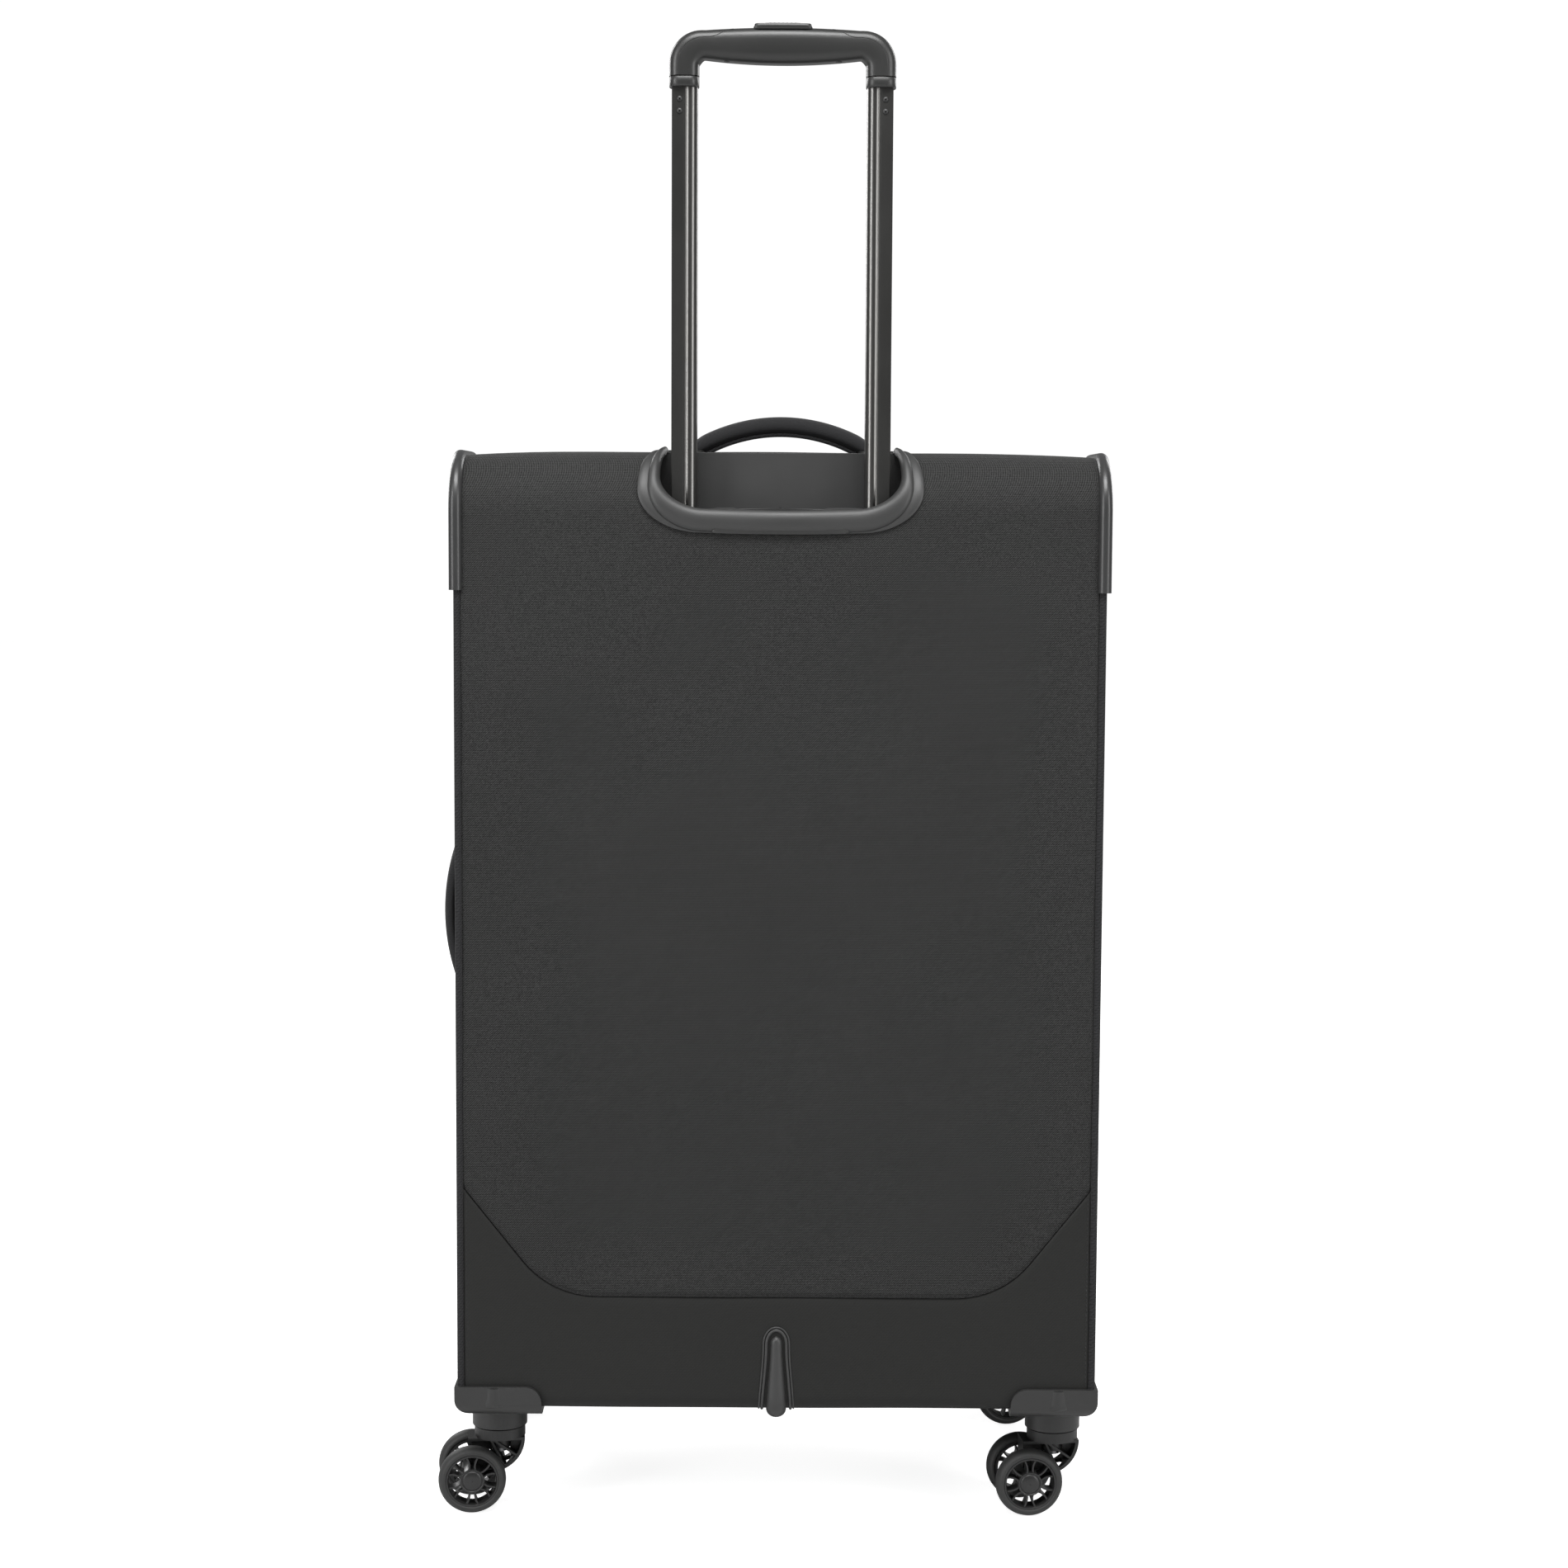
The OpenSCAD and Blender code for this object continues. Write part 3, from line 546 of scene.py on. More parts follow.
def flat_side(shape, sign, y_low, y_high, z_low, z_high, columns, rows, edge_to):
    """A side panel whose rear or front edge follows y_high(z) or y_low(z)."""
    points = []
    for i in range(rows + 1):
        z = lerp(z_low, z_high, 0.5 - 0.5 * math.cos(math.pi * i / rows))
        for j in range(columns + 1):
            y = lerp(y_low(z), y_high(z), 0.5 - 0.5 * math.cos(math.pi * j / columns))
            dip = seam_dip(edge_to(y, z), 1.0, 4)
            points.append((sign * (HALF - 0.2 + 0.8 * ripple(y + 90 * sign, z) + dip), y, z))
    shape.add(points, grid_faces(rows + 1, columns + 1))


def round_edge(z, face, sign, low, low_r):
    """Where a face's edge lies in side view at height z, just inside the piping."""
    inset = 1.5
    for r, rise in ((EDGE_R, z - TOP + EDGE_R), (low_r, low + low_r - z)):
        if rise > 0:
            return face + sign * (math.sqrt(max(0, (r - inset) ** 2 - rise**2)) - r)
    return face - sign * inset


def rear_edge(z):
    return round_edge(z, REAR, 1, BOTTOM, FOOT_R)


def front_edge(z):
    return round_edge(z, FRONT, -1, LID_LOW.z, LID_FOOT_R)


def side_skins():
    shape = Shape()
    for sign in (-1, 1):
        flat_side(shape, sign, lambda z: SPLIT, rear_edge, BOTTOM + 1.5, TOP - 1.5, 44, 90,
                  lambda y, z: min(rear_edge(z) - y, TOP - 1.5 - z))
        flat_side(shape, sign, lambda z: FRONT + 2, lambda z: SPLIT, BOTTOM + 1.5, SILL - 0.5, 12, 4,
                  lambda y, z: 9)
    piece("side_fabric", shape, "case", TWILL, ("side_panels",), thickness=SKIN)


def lining_tub():
    """The lining on the inside of the case, clear of the frame hoops."""
    inset = 8
    shape = Shape()
    for low, high in ((BODY_START + 22, BODY_START + 266), (TOP_FLAT + 6, BODY_END)):
        shape.loft([[body_wrap.point(x, s, -inset) for x in spread(-HALF + inset, HALF - inset, 40)]
                    for s in spread(low, high, 20)], closed=False)
    for sign in (-1, 1):
        shape.loft([[(sign * (HALF - inset), y, z) for y in spread(SPLIT + 1, REAR - 44, 30)]
                    for z in spread(BOTTOM + inset, TOP - inset, 40)], closed=False)
    piece("case_lining", shape, "case", LINING, thickness=0.8)


# ---- Piping, guards and stitches ----
def ribbon(shape, wrap, section, places):
    """Sweeps a closed (x, out) section along a wrap."""
    shape.loft([[wrap.point(x, s, out) for x, out in section(s)] for s in places])


def piping():
    for name, body, wrap, low, high, covers in (
            ("case_piping", "case", body_wrap, BODY_START + 40, BODY_END - 2, ("piping",)),
            ("lid_piping", "lid", lid_wrap, LID_START + 3, LID_END - 3, ())):
        shape = Shape()
        for sign in (-1, 1):
            section = [(sign * (HALF - 1) + PIPE_R * c, -1 + PIPE_R * q) for c, q in circle(10)]
            ribbon(shape, wrap, lambda s: section, spread(low, high, 2.5))
        piece(name, shape, body, TAPE, covers)


def guards():
    """Half-round strips over the piping, round both top rear corners."""
    shape = Shape()
    low = TOP - 97
    high = TOP_FLAT + REAR - EDGE_R - 40
    outer = arc_points(HALF - 0.2, -1.2, 4.9, 5.2, 175, -70, 16)
    inner = [(HALF + 0.6, -5.4), (HALF - 2.5, -4.5), (HALF - 4.4, -2.0)]
    section = outer + inner
    for sign in (-1, 1):
        def squeezed(s):
            end = 0.55 + 0.45 * math.sqrt(max(0, 1 - max(0, (s - high + 8) / 8) ** 2))
            return [(sign * (HALF - 1 + (x - HALF + 1) * end), (out + 1) * end - 1) for x, out in section]
        ribbon(shape, body_wrap, squeezed, spread(low, high, 3))
    piece("corner_guard_strips", shape, "case", GUARD, ("corner_guards",), sharp=60)


def stitches(name, line, out, spacing=3.0):
    """Short raised threads along a line of (x, s) points on the case."""
    length, r = 2.1, 0.32
    shape = Shape()
    walked = 0.0
    following = spacing
    for (xa, sa), (xb, sb) in zip(line, line[1:]):
        run = math.hypot(xb - xa, sb - sa)
        dx, ds = (xb - xa) / run, (sb - sa) / run
        while following <= walked + run:
            t = (following - walked) / run
            x, s = lerp(xa, xb, t), lerp(sa, sb, t)
            rings = []
            for k, size in ((-0.5, 0.3), (-0.3, 1), (0.3, 1), (0.5, 0.3)):
                at, thick = length * k, r * size
                rings.append([body_wrap.point(x + dx * at - ds * thick * c, s + ds * at + dx * thick * c,
                                              out(x, s) + 0.8 * thick * q) for c, q in circle(5)])
            shape.loft(rings)
            following += spacing
        walked += run
    piece(name, shape, "case", THREAD)


def case_stitching():
    seam = [(x, seam_height(x) + 1.6) for x in spread(-SHEET_X + 4, SHEET_X - 4, 2)]
    stitches("seam_stitches", seam, twill_height)
    for sign, side in ((-1, "left"), (1, "right")):
        line = [(sign * (SHEET_X - 4.2), s) for s in spread(BOTTOM + 20, BODY_END - 14, 5)]
        stitches(f"edge_stitches_{side}", line,
                 lambda x, s: (twill_height if s > seam_height(x) else coated_height)(x, s), 3.6)


# ---- Trolley cup ----
def in_well(x, z):
    """Where a point of the cup's lip goes in the wider, squarer well behind it."""
    corner_x, corner_z = CUP_INNER.corner
    wide = CUP_WELL_HALF / CUP_INNER.half_at(z)
    if z > corner_z:
        return x * wide, z
    u = max(0, abs(x) - corner_x) / (CUP_INNER.half_width - corner_x)
    v = (corner_z - z) / (corner_z - CUP_INNER.low)
    reach = corner_x + (CUP_WELL_HALF - corner_x) * min(1, u) ** 0.3 if u > 0 else abs(x)
    return math.copysign(reach, x), corner_z - (corner_z - CUP_WELL_LOW) * min(1, max(0, v)) ** 0.3


def trolley_cup():
    shape = Shape()
    lines = [CUP_OUTER.points(), CUP_STEP.points(), CUP_CREST.points(), CUP_INNER.points()]
    count = min(len(line) for line in lines)

    def even(line):
        lengths = [0]
        for a, b in zip(line, line[1:]):
            lengths.append(lengths[-1] + math.dist(a, b))
        result = []
        k = 0
        for i in range(count * 2):
            want = lengths[-1] * i / (count * 2 - 1)
            while k < len(lengths) - 2 and lengths[k + 1] < want:
                k += 1
            t = (want - lengths[k]) / max(1e-9, lengths[k + 1] - lengths[k])
            result.append((lerp(line[k][0], line[k + 1][0], t), lerp(line[k][1], line[k + 1][1], t)))
        return result

    outer, step, crest, inner = [even(line) for line in lines]

    def between(a, b, t):
        return [(lerp(p[0], q[0], t), lerp(p[1], q[1], t)) for p, q in zip(a, b)]

    rows = [(outer, -0.6), (outer, 1.1), (between(outer, step, 0.08), 1.7), (between(outer, step, 0.5), 1.9),
            (between(outer, step, 0.93), 1.8), (step, 1.6), (between(step, crest, 0.15), 2.9),
            (between(step, crest, 0.5), 3.9), (crest, 4.3), (between(crest, inner, 0.35), 4.1),
            (between(crest, inner, 0.7), 3.0), (between(crest, inner, 0.92), 1.4), (inner, 0)]
    rings = [[body_wrap.point(x, s, out + crown(x, s)) for x, s in line] for line, out in rows]
    lip = rings[-1]
    back_y = TUBE_Y - 14.7
    for depth, well, inset in ((0.1, 0, 0.2), (0.2, 0.4, 0), (0.26, 1, 0), (0.9, 1, 0), (0.97, 1, 0.8), (1.0, 1, 3)):
        ring = []
        for x, y, z in lip:
            wx, wz = in_well(x, z)
            wx, wz = lerp(x, wx, well), lerp(z, wz, well)
            reach = math.hypot(wx, wz - TOP)
            pull = inset / reach if reach > 1 else 0
            ring.append((lerp(wx, 0, pull), lerp(y, back_y, depth), min(lip[0][2], lerp(wz, TOP, pull))))
        rings.append(ring)
    shape.loft(rings, closed=False)
    last = rings[-1]
    half = len(last) // 2
    wall = [[tuple(lerp(a, b, t / 12) for a, b in zip(last[i], last[-1 - i])) for t in range(13)]
            for i in range(half)]
    shape.loft(wall, closed=False)
    piece("trolley_cup", shape, "case", SATIN, ("handle_recess",), thickness=1.6, sharp=50)


def cup_crescent():
    """The raised flat crescent at the foot of the cup's rim."""
    shape = Shape()
    rows = []
    for x in spread(-49, 49, 3):
        k = math.sqrt(max(0, 1 - (x / 49.5) ** 6))
        base = CUP_OUTER.low + (x / 58) ** 2
        rows.append([body_wrap.point(x, base + up, out) for up, out in
                     ((-0.3, 0.4), (0, 2.6), (3.0 * k, 3.2), (6.0 * k + 0.2, 3.6), (6.4 * k + 0.4, 1.5))])
    shape.loft(rows, closed=False)
    piece("cup_crescent", shape, "case", GRIP, thickness=0.8)


# ---- Trolley ----
def trolley_tubes():
    """Each tube has a flat matt outer half and a bright bead inside, with a groove between."""
    r = TUBE_D / 2
    flat = [(9.3, -6.9), (9.3, 6.9), (8.7, r), (1.0, r), (0.35, r - 0.25), (0.0, r - 0.9)]
    bead = [(-1.2, r - 1.7), (-2.2, r - 1.2)]
    bead += [(-3.2 - 6.1 * math.sin(a), (r - 0.8) * math.cos(a))
             for a in [math.radians(d) for d in range(0, 181, 9)]]
    bead += [(-2.2, 1.2 - r), (-1.2, 1.7 - r)]
    section = flat + bead + [(x, -y) for x, y in flat[:1:-1]]
    low = box("inner_tubes")[0].z
    high = box("inner_tubes")[1].z
    shape = Shape()
    for sign in (-1, 1):
        rings = [[(sign * (TUBE_X + x), TUBE_Y + y, z) for x, y in section] for z in (low, high)]
        n = len(section)
        start = len(shape.points)
        shape.points += [p for ring in rings for p in ring]
        for j in range(n):
            k = (j + 1) % n
            shape.faces.append((start + j, start + k, start + n + k, start + n + j))
            shape.marks.append(1 if section[j][0] < 0.2 and section[k][0] < 0.2 else 0)
        shape.faces.append(tuple(start + j for j in range(n)))
        shape.marks.append(0)
    piece("trolley_tubes", shape, "trolley", [TUBE_MATT, TUBE_BRIGHT], ("inner_tubes",), sharp=35)


def rivet_heads():
    shape = Shape()
    low, high = box("tube_rivets")
    profile = [(0.01, -1)] + [(2.1, -1), (2.1, 0.1)] + [(2.1 * math.cos(a), 0.1 + 0.9 * math.sin(a))
                                                      for a in (0.4, 0.8, 1.2)] + [(0.7, 1.0), (0.6, 0.4), (0.01, 0.4)]
    for sign in (-1, 1):
        for z in (low.z + 2, high.z - 2):
            place = Matrix.Translation((sign * (TUBE_X + 3.7), TUBE_Y + TUBE_D / 2, z)) @ Matrix.Rotation(
                -math.pi / 2, 4, "X")
            shape.lathe(profile, place, 20)
    piece("rivet_heads", shape, "trolley", DARK, ("tube_rivets",))


GRIP_TOP = box("grip_cover")[1].z - 0.8
LEG_END = box("grip_base")[0].z
COLLAR_END = box("grip_collars")[0].z


def grip_station(t):
    """Centre, outward direction, half width and half depth of the grip's arch at t, 0 left to 1 right."""
    reach = abs(2 * t - 1)
    sign = 1 if t > 0.5 else -1
    leg_x, arm, beam_z, bend, depth = 70.2, 14.6, GRIP_TOP - 13, 25, 11.0
    flat = leg_x - arm
    turned = bend + beam_z - arm - LEG_END
    bar = flat / (flat + turned)
    if reach < bar:
        k = (reach / bar) ** 2
        return (sign * reach / bar * flat, beam_z + 0.7 * k), (0, 1), 13.0 - 2.7 * k, depth
    rest = (reach - bar) / (1 - bar) * turned
    if rest < bend:
        a = math.pi / 2 * rest / bend
        centre = (sign * (flat + arm * math.sin(a)), beam_z + 0.7 - arm + arm * math.cos(a))
        return centre, (sign * math.sin(a), math.cos(a)), 10.3 + 0.5 * a / 1.57 + 0.8 * math.sin(2 * a), depth
    return (sign * leg_x, max(beam_z + 0.7 - arm - (rest - bend), LEG_END)), (sign, 0), 10.8, depth


def oval(power, n):
    """A rounded square of half size 1: (across, depth) points."""
    points = []
    for k in range(n):
        a = 2 * math.pi * k / n
        c, s = math.cos(a), math.sin(a)
        points.append((math.copysign(abs(c) ** (2 / power), c), math.copysign(abs(s) ** (2 / power), s)))
    return points


def grip_ring(t):
    (cx, cz), (nx, nz), w, b = grip_station(t)
    return [(cx + nx * u * w, TUBE_Y + v * b, cz + nz * u * w) for u, v in oval(2.9, 32)]


def grip():
    shape = Shape()
    shape.loft([grip_ring(i / 96) for i in range(97)])
    piece("grip_shell", shape, "trolley", GRIP, ("grip_base", "grip_cover"), sharp=60)
    lines = Shape()
    for x in (-39.8, 39.8):
        lines.lathe([(1.2, -0.3), (2.3, -0.3), (2.3, 0.6), (1.2, 0.6)],
                    Matrix.Translation((x, TUBE_Y + 3, GRIP_TOP - 24)), 20)
    for low, high in ((0.02, 0.30), (0.70, 0.98)):
        for side in (-1, 1):
            rings = []
            for i in range(41):
                t = lerp(low, high, i / 40)
                (cx, cz), (nx, nz), w, b = grip_station(t)
                u = lerp(0.42, 0.93, smooth_step(0.2, 0.3, min(t, 1 - t)))
                v = (1 - u**2.9) ** (1 / 2.9) * side
                centre = Vector((cx + nx * u * w, TUBE_Y + v * b, cz + nz * u * w))
                rings.append([centre + Vector((0.28 * math.cos(a), 0.22 * math.sin(a) * side, 0.28 * math.sin(a)))
                              for a in (0, 1.57, 3.14, 4.71)])
            lines.loft(rings)
    piece("grip_parting_lines", lines, "trolley", DARK)


def collars():
    shape = Shape()
    for t in (0.0, 1.0):
        (cx, cz), outward, w, b = grip_station(t)
        for low, high, grow in ((COLLAR_END, LEG_END - 0.2, -0.05), (LEG_END - 0.4, LEG_END + 0.2, -0.35)):
            shape.loft([[(cx + u * (w + g), TUBE_Y + v * (b + g), z) for u, v in oval(2.9, 32)] for z, g in
                        ((low, grow - 0.3), (low + 0.3, grow), (high - 0.15, grow), (high, grow - 0.15))])
    piece("leg_collars", shape, "trolley", GRIP, ("grip_collars",), sharp=60)


def button_parts():
    low, top = box("button")[0].z, box("button")[1].z
    surround = Shape()
    surround.loft([[(u * x, TUBE_Y + v * y, z) for u, v in oval(7, 40)] for x, y, z in (
        (21.5, 9.0, GRIP_TOP - 1.5), (20.2, 8.2, top - 1.0), (19.8, 7.8, top - 0.6), (15.2, 7.0, top - 0.6),
        (14.6, 6.6, top - 1.0), (14.4, 6.4, top - 4.5))], caps=False)
    piece("button_surround", surround, "trolley", GRIP, thickness=0.6)
    cap = Shape()
    cap.loft([[(u * (14 - inset), TUBE_Y + v * (6 - inset), z) for u, v in oval(6, 40)]
              for z, inset in ((low, 0), (top - 0.5, 0), (top, 0.6))])
    for x in spread(-9, 9, 3):
        cap.block((x - 0.5, TUBE_Y - 4.4, top - 0.2), (x + 0.5, TUBE_Y + 4.4, top + 0.25))
    piece("release_button_cap", cap, "release_button", MATT, ("button",))


def return_spring():
    """The coil under the push bar, built here at one length; on the case it shortens as the button goes down."""
    low, high = box("button_spring")
    turns, wire, radius, steps = 3, 0.45, 3.6, 96
    rings = []
    for i in range(steps + 1):
        a = 2 * math.pi * turns * i / steps
        z = lerp(low.z + wire, high.z - wire, i / steps)
        rings.append([((radius + wire * c) * math.cos(a), TUBE_Y + (radius + wire * c) * math.sin(a), z + wire * q)
                      for c, q in circle(8)])
    shape = Shape()
    shape.loft(rings)
    spring = piece("return_spring", shape, None, STEEL, ("button_spring",))
    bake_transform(spring)


# ---- Casters ----
def wheel_place(corner, sign):
    """A wheel's own frame, trailing behind its swivel axis: its outer face towards +Z."""
    caster = Matrix.Translation((*SWIVELS[corner], 0)) @ Matrix.Rotation(FORK_TURN, 4, "Z")
    return caster @ Matrix.Translation((TRAIL, WHEEL_Y * sign, WHEEL_R)) @ Matrix.Rotation(-math.pi / 2 * sign, 4, "X")


def tyre_profile():
    w = WHEEL_W / 2
    crown_line = arc_points(WHEEL_R - 4.2, 0, 4.2, w, -78, 78, 14)
    return [(TYRE_IN, -w + 0.9), (TYRE_IN + 0.8, -w + 0.1), (WHEEL_R - 4.0, -w)] + crown_line + [
        (WHEEL_R - 4.0, w), (TYRE_IN + 0.8, w - 0.1), (TYRE_IN, w - 0.9)]


def spoke(place, shape, angle, lean):
    """One rib of a tulip-shaped pair, thin and deep, curving out into the rim."""
    turned = place @ Matrix.Rotation(angle, 4, "Z")
    half, back = 0.62, -4.5
    path = [(8.4, 2.3), (10.5, 1.9), (13, 2.2), (15.5, 3.0), (17.4, 4.1), (18.4, 5.2)]
    rings = []
    for i, ((r, off), d) in enumerate(along(path)):
        front = WHEEL_W / 2 - 1.6 - 0.5 * math.sin(math.pi * i / 5)
        rings.append([turned @ Vector((r - side * d.y * half, (off + side * d.x * half) * lean, z))
                      for side, z in ((1, back), (-1, back), (-1, front), (1, front))])
    shape.loft(rings)


def wheels():
    for corner in SWIVELS:
        for name, sign in (("outer", 1), ("inner", -1)):
            place = wheel_place(corner, sign)
            body = f"wheel_{corner}_{name}"
            tyre = Shape()
            tyre.lathe(tyre_profile(), place, 72)
            piece(f"tyre_tread_{corner}_{name}", tyre, body, TYRE, (f"tyre_{corner}_{name}",), sharp=50)
            hub = Shape()
            w = WHEEL_W / 2
            hub.lathe([(17.4, -w + 0.6), (TYRE_IN, -w + 0.6), (TYRE_IN, w - 0.5), (18.4, w - 0.5), (17.9, w - 1.3),
                       (17.6, w - 2.4)], place, 64)
            hub.lathe([(3.1, -w), (9, -w), (9.2, w - 2.0), (8.9, w - 1.0), (8.4, w - 0.8), (7.9, w - 1.0),
                       (7.7, w - 1.4), (3.1, w - 1.4)], place, 48)
            hub.lathe([(0.02, w - 2.4), (7.4, w - 2.4)] + arc_points(0, w - 1.6, 7.4, 1.7, 0, 88, 6), place, 48)
            for k in range(6):
                for lean in (-1, 1):
                    spoke(place, hub, math.pi / 3 * k + math.pi / 6, lean)
            piece(f"spoked_hub_{corner}_{name}", hub, body, HUB, (f"hub_{corner}_{name}",), sharp=45)


def housing_fairings():
    """The cone that joins each swivel tower to its corner moulding."""
    shape = Shape()
    for kx, ky in SWIVELS.values():
        back = 1 if ky > 0 else -1
        wall_y = (REAR if back > 0 else FRONT) + back * 3.6
        rings = []
        for t in spread(0, 1, 1 / 12):
            r = lerp(20.5, 6.5, t)
            reach = lerp(ky, wall_y - back * (r - 1.2), smooth_step(0.0, 0.55, t))
            z = lerp(BOTTOM - 11, BOTTOM + 17.2, t)
            rings.append([(kx + r * c, reach + r * s, z) for c, s in circle(40)])
        shape.loft(rings)
    piece("housing_fairings", shape, "case", MATT, sharp=60)


# ---- Skid ----
def skid():
    shape = Shape()
    low = FOOT_END - 6
    high = BOTTOM + 57
    rings = []
    for t in [i / 40 for i in range(41)]:
        place = lerp(low, high, t)
        tip = 1 - max(0, (t - 0.93) / 0.07) ** 2
        w = lerp(7.6, 4.1, smooth_step(0.05, 1, t)) * math.sqrt(max(0.02, tip))
        h = lerp(7.5, 3.2, t) * math.sqrt(max(0.05, tip) * max(0.08, 1 - max(0, (0.08 - t) / 0.08) ** 2))
        rings.append([body_wrap.point(w * math.cos(a), place, -0.8 + (h + 0.8) * math.sin(a) ** 0.8)
                      for a in [math.pi * k / 14 for k in range(15)]] + [body_wrap.point(0, place, -1.2)])
    shape.loft(rings)
    for offset, r, rise in ((3.0, 1.1, 0.5), (5.2, 0.7, 0.3)):
        path = [(7.2 + offset, low + 3)] + [
            (lerp(7.6, 4.3, smooth_step(0.05, 1, i / 20)) + offset, lerp(low + 6, high - 6, i / 20))
            for i in range(21)]
        arch = arc_points(0, high - 6, 4.3 + offset, 7.5 + offset, 0, 180, 20)
        line = path + arch[1:-1] + [(-x, s) for x, s in path[::-1]]
        shape.loft([[body_wrap.point(x - d.y * r * c, s + d.x * r * c, rise + r * q) for c, q in circle(8)]
                    for (x, s), d in along(line)])
    piece("skid_strip", shape, "case", SATIN, ("skid",), sharp=60)


# ---- Carry handles ----
def carry_handle(name, body, node, place, rise, thick, width):
    """A padded arch with a bound lower face; place takes (along, across, up) to the row frame."""
    r = ((HANDLE_CHORD / 2) ** 2 + rise**2) / (2 * rise)
    reach = math.asin((HANDLE_CHORD / 2 - 8) / r)
    rings = []
    strap = []
    steps = 56
    for i in range(steps + 1):
        a = lerp(-reach, reach, i / steps)
        k = abs(2 * i / steps - 1)
        t = thick * math.sqrt(max(0, 1 - smooth_step(0.72, 1.0, k) * 0.75))
        w = width / 2 * (1 - 0.1 * smooth_step(0.8, 1, k))
        mid = r - thick / 2 - (thick - t) * 0.1

        def ring(section, high, wide):
            return [place @ Vector((high(v) * math.sin(a), u * wide, rise - r + high(v) * math.cos(a)))
                    for u, v in section]

        rings.append(ring(oval(2.6, 28), lambda v: mid + v * t / 2 * (1 if v > 0 else 0.72), w))
        strap.append(ring(oval(5, 16), lambda v: mid - t / 2 * 0.78 + v * 1.3, w * 0.82))
    shape = Shape()
    shape.loft(rings)
    shape.loft(strap, mark=1)
    end_x = (r - thick / 2) * math.sin(reach)
    end_z = rise - r + (r - thick / 2) * math.cos(reach)
    for sign in (-1, 1):
        shape.loft([[place @ Vector((sign * (x + dx), dy * w, z)) for dx, dy in
                     ((-1.3, -1), (1.3, -1), (1.3, 1), (-1.3, 1))] for z, x, w in
                    ((-14, HANDLE_TAIL, width / 2 - 4), (0, HANDLE_TAIL, width / 2 - 4),
                     (3.6, HANDLE_TAIL + 0.4, width / 2 - 4), (max(6, end_z - 1), end_x, width / 2 - 3))], mark=1)
    handle = piece(name, shape, body, [BOUND, TAPE], (node,), sharp=50)


def handles():
    low, high = box("top_handle")
    on_top = Matrix.Translation(((low.x + high.x) / 2, (low.y + high.y) / 2, TOP))
    carry_handle("top_handle_pad", "top_carry_handle", "top_handle", on_top, high.z - TOP, 15.5, 30)
    low, high = box("side_handle")
    middle = Vector((HALF, (low.y + high.y) / 2, (low.z + high.z) / 2))
    on_side = Matrix.Translation(middle) @ Matrix.Rotation(math.pi / 2, 4, "Y")
    carry_handle("side_handle_pad", "side_carry_handle", "side_handle", on_side, high.x - HALF, 11, 28)
    plates = Shape()
    for place, width in ((on_top @ Matrix.Translation((0, 0, 3.2)), 30), (on_side, 28)):
        for sign in (-1, 1):
            plates.loft([[place @ Vector((sign * HANDLE_TAIL + u * (15 - inset), v * (width / 2 + 4 - inset), z))
                          for u, v in oval(8, 40)] for z, inset in ((-1.5, 0), (1.6, 0), (2.6, 0.6), (3.0, 1.6))])
    piece("handle_base_patches", plates, "case", COATED, ("handle_anchors",), sharp=50)


# ---- Lid ----
def lid_skin():
    shape = sheet(lid_wrap, lambda x: LID_START, lambda x: LID_END - ZIP_TAPE,
                  lambda x, s: 0.8 * ripple(x, s + 37) + seam_dip(SHEET_X - abs(x)) + crown(x, s), 150)
    for sign in (-1, 1):
        flat_side(shape, sign, front_edge, lambda z: SPLIT - 0.4, LID_LOW.z + 1.5, TOP - 1.5, 14, 90,
                  lambda y, z: min(y - front_edge(z), TOP - 1.5 - z))
    piece("lid_fabric", shape, "lid", TWILL, ("lid_shell",), thickness=SKIN)
    lining = Shape()
    inset = 6
    lining.loft([[lid_wrap.point(x, s, -inset) for x in spread(-HALF + inset, HALF - inset, 20)]
                 for s in spread(LID_START + 8, LID_END - 4, 12)], closed=False)
    for sign in (-1, 1):
        lining.loft([[(sign * (HALF - inset), lerp(front_edge(z) + inset, SPLIT - 1.5, t / 6), z) for t in range(7)]
                     for z in spread(LID_LOW.z + inset, TOP - inset, 20)], closed=False)
    piece("lid_lining", lining, "lid", LINING, thickness=0.8)


def pocket(name, node, cap):
    """A padded pocket that swells a little between its seams, with piping round its edge."""
    low, high = box(node)
    radius = 24
    cx, cz = (low.x + high.x) / 2, (low.z + high.z) / 2
    wide, tall, depth = (high.x - low.x) / 2, (high.z - low.z) / 2, high.y - low.y
    outline = []
    for sx, sz, start in ((1, -1, -90), (1, 1, 0), (-1, 1, 90), (-1, -1, 180)):
        outline += arc_points(cx + sx * (wide - radius), cz + sz * (tall - radius), radius, radius,
                              start, start + 90, 8)
    shape = Shape()
    shape.loft([[(cx + (x - cx) * (1 - inset / wide), high.y + y, cz + (z - cz) * max(1 - inset / tall, 0.1))
                 for x, z in outline] for y, inset in (
        (0.2, 1.0), (-depth * 0.5, 0.6), (-depth + 5, 1.0), (-depth + 1.8, 3.2), (-depth + 0.6, 7.5),
        (-depth + 0.4, 40), (-depth + 0.4, 90))])
    pad = piece(name, shape, "lid", TWILL, (node,))
    puff(pad, cap)
    front_cord(f"{node}_piping", outline, low.y + 2.6, 1.7, -1.0)


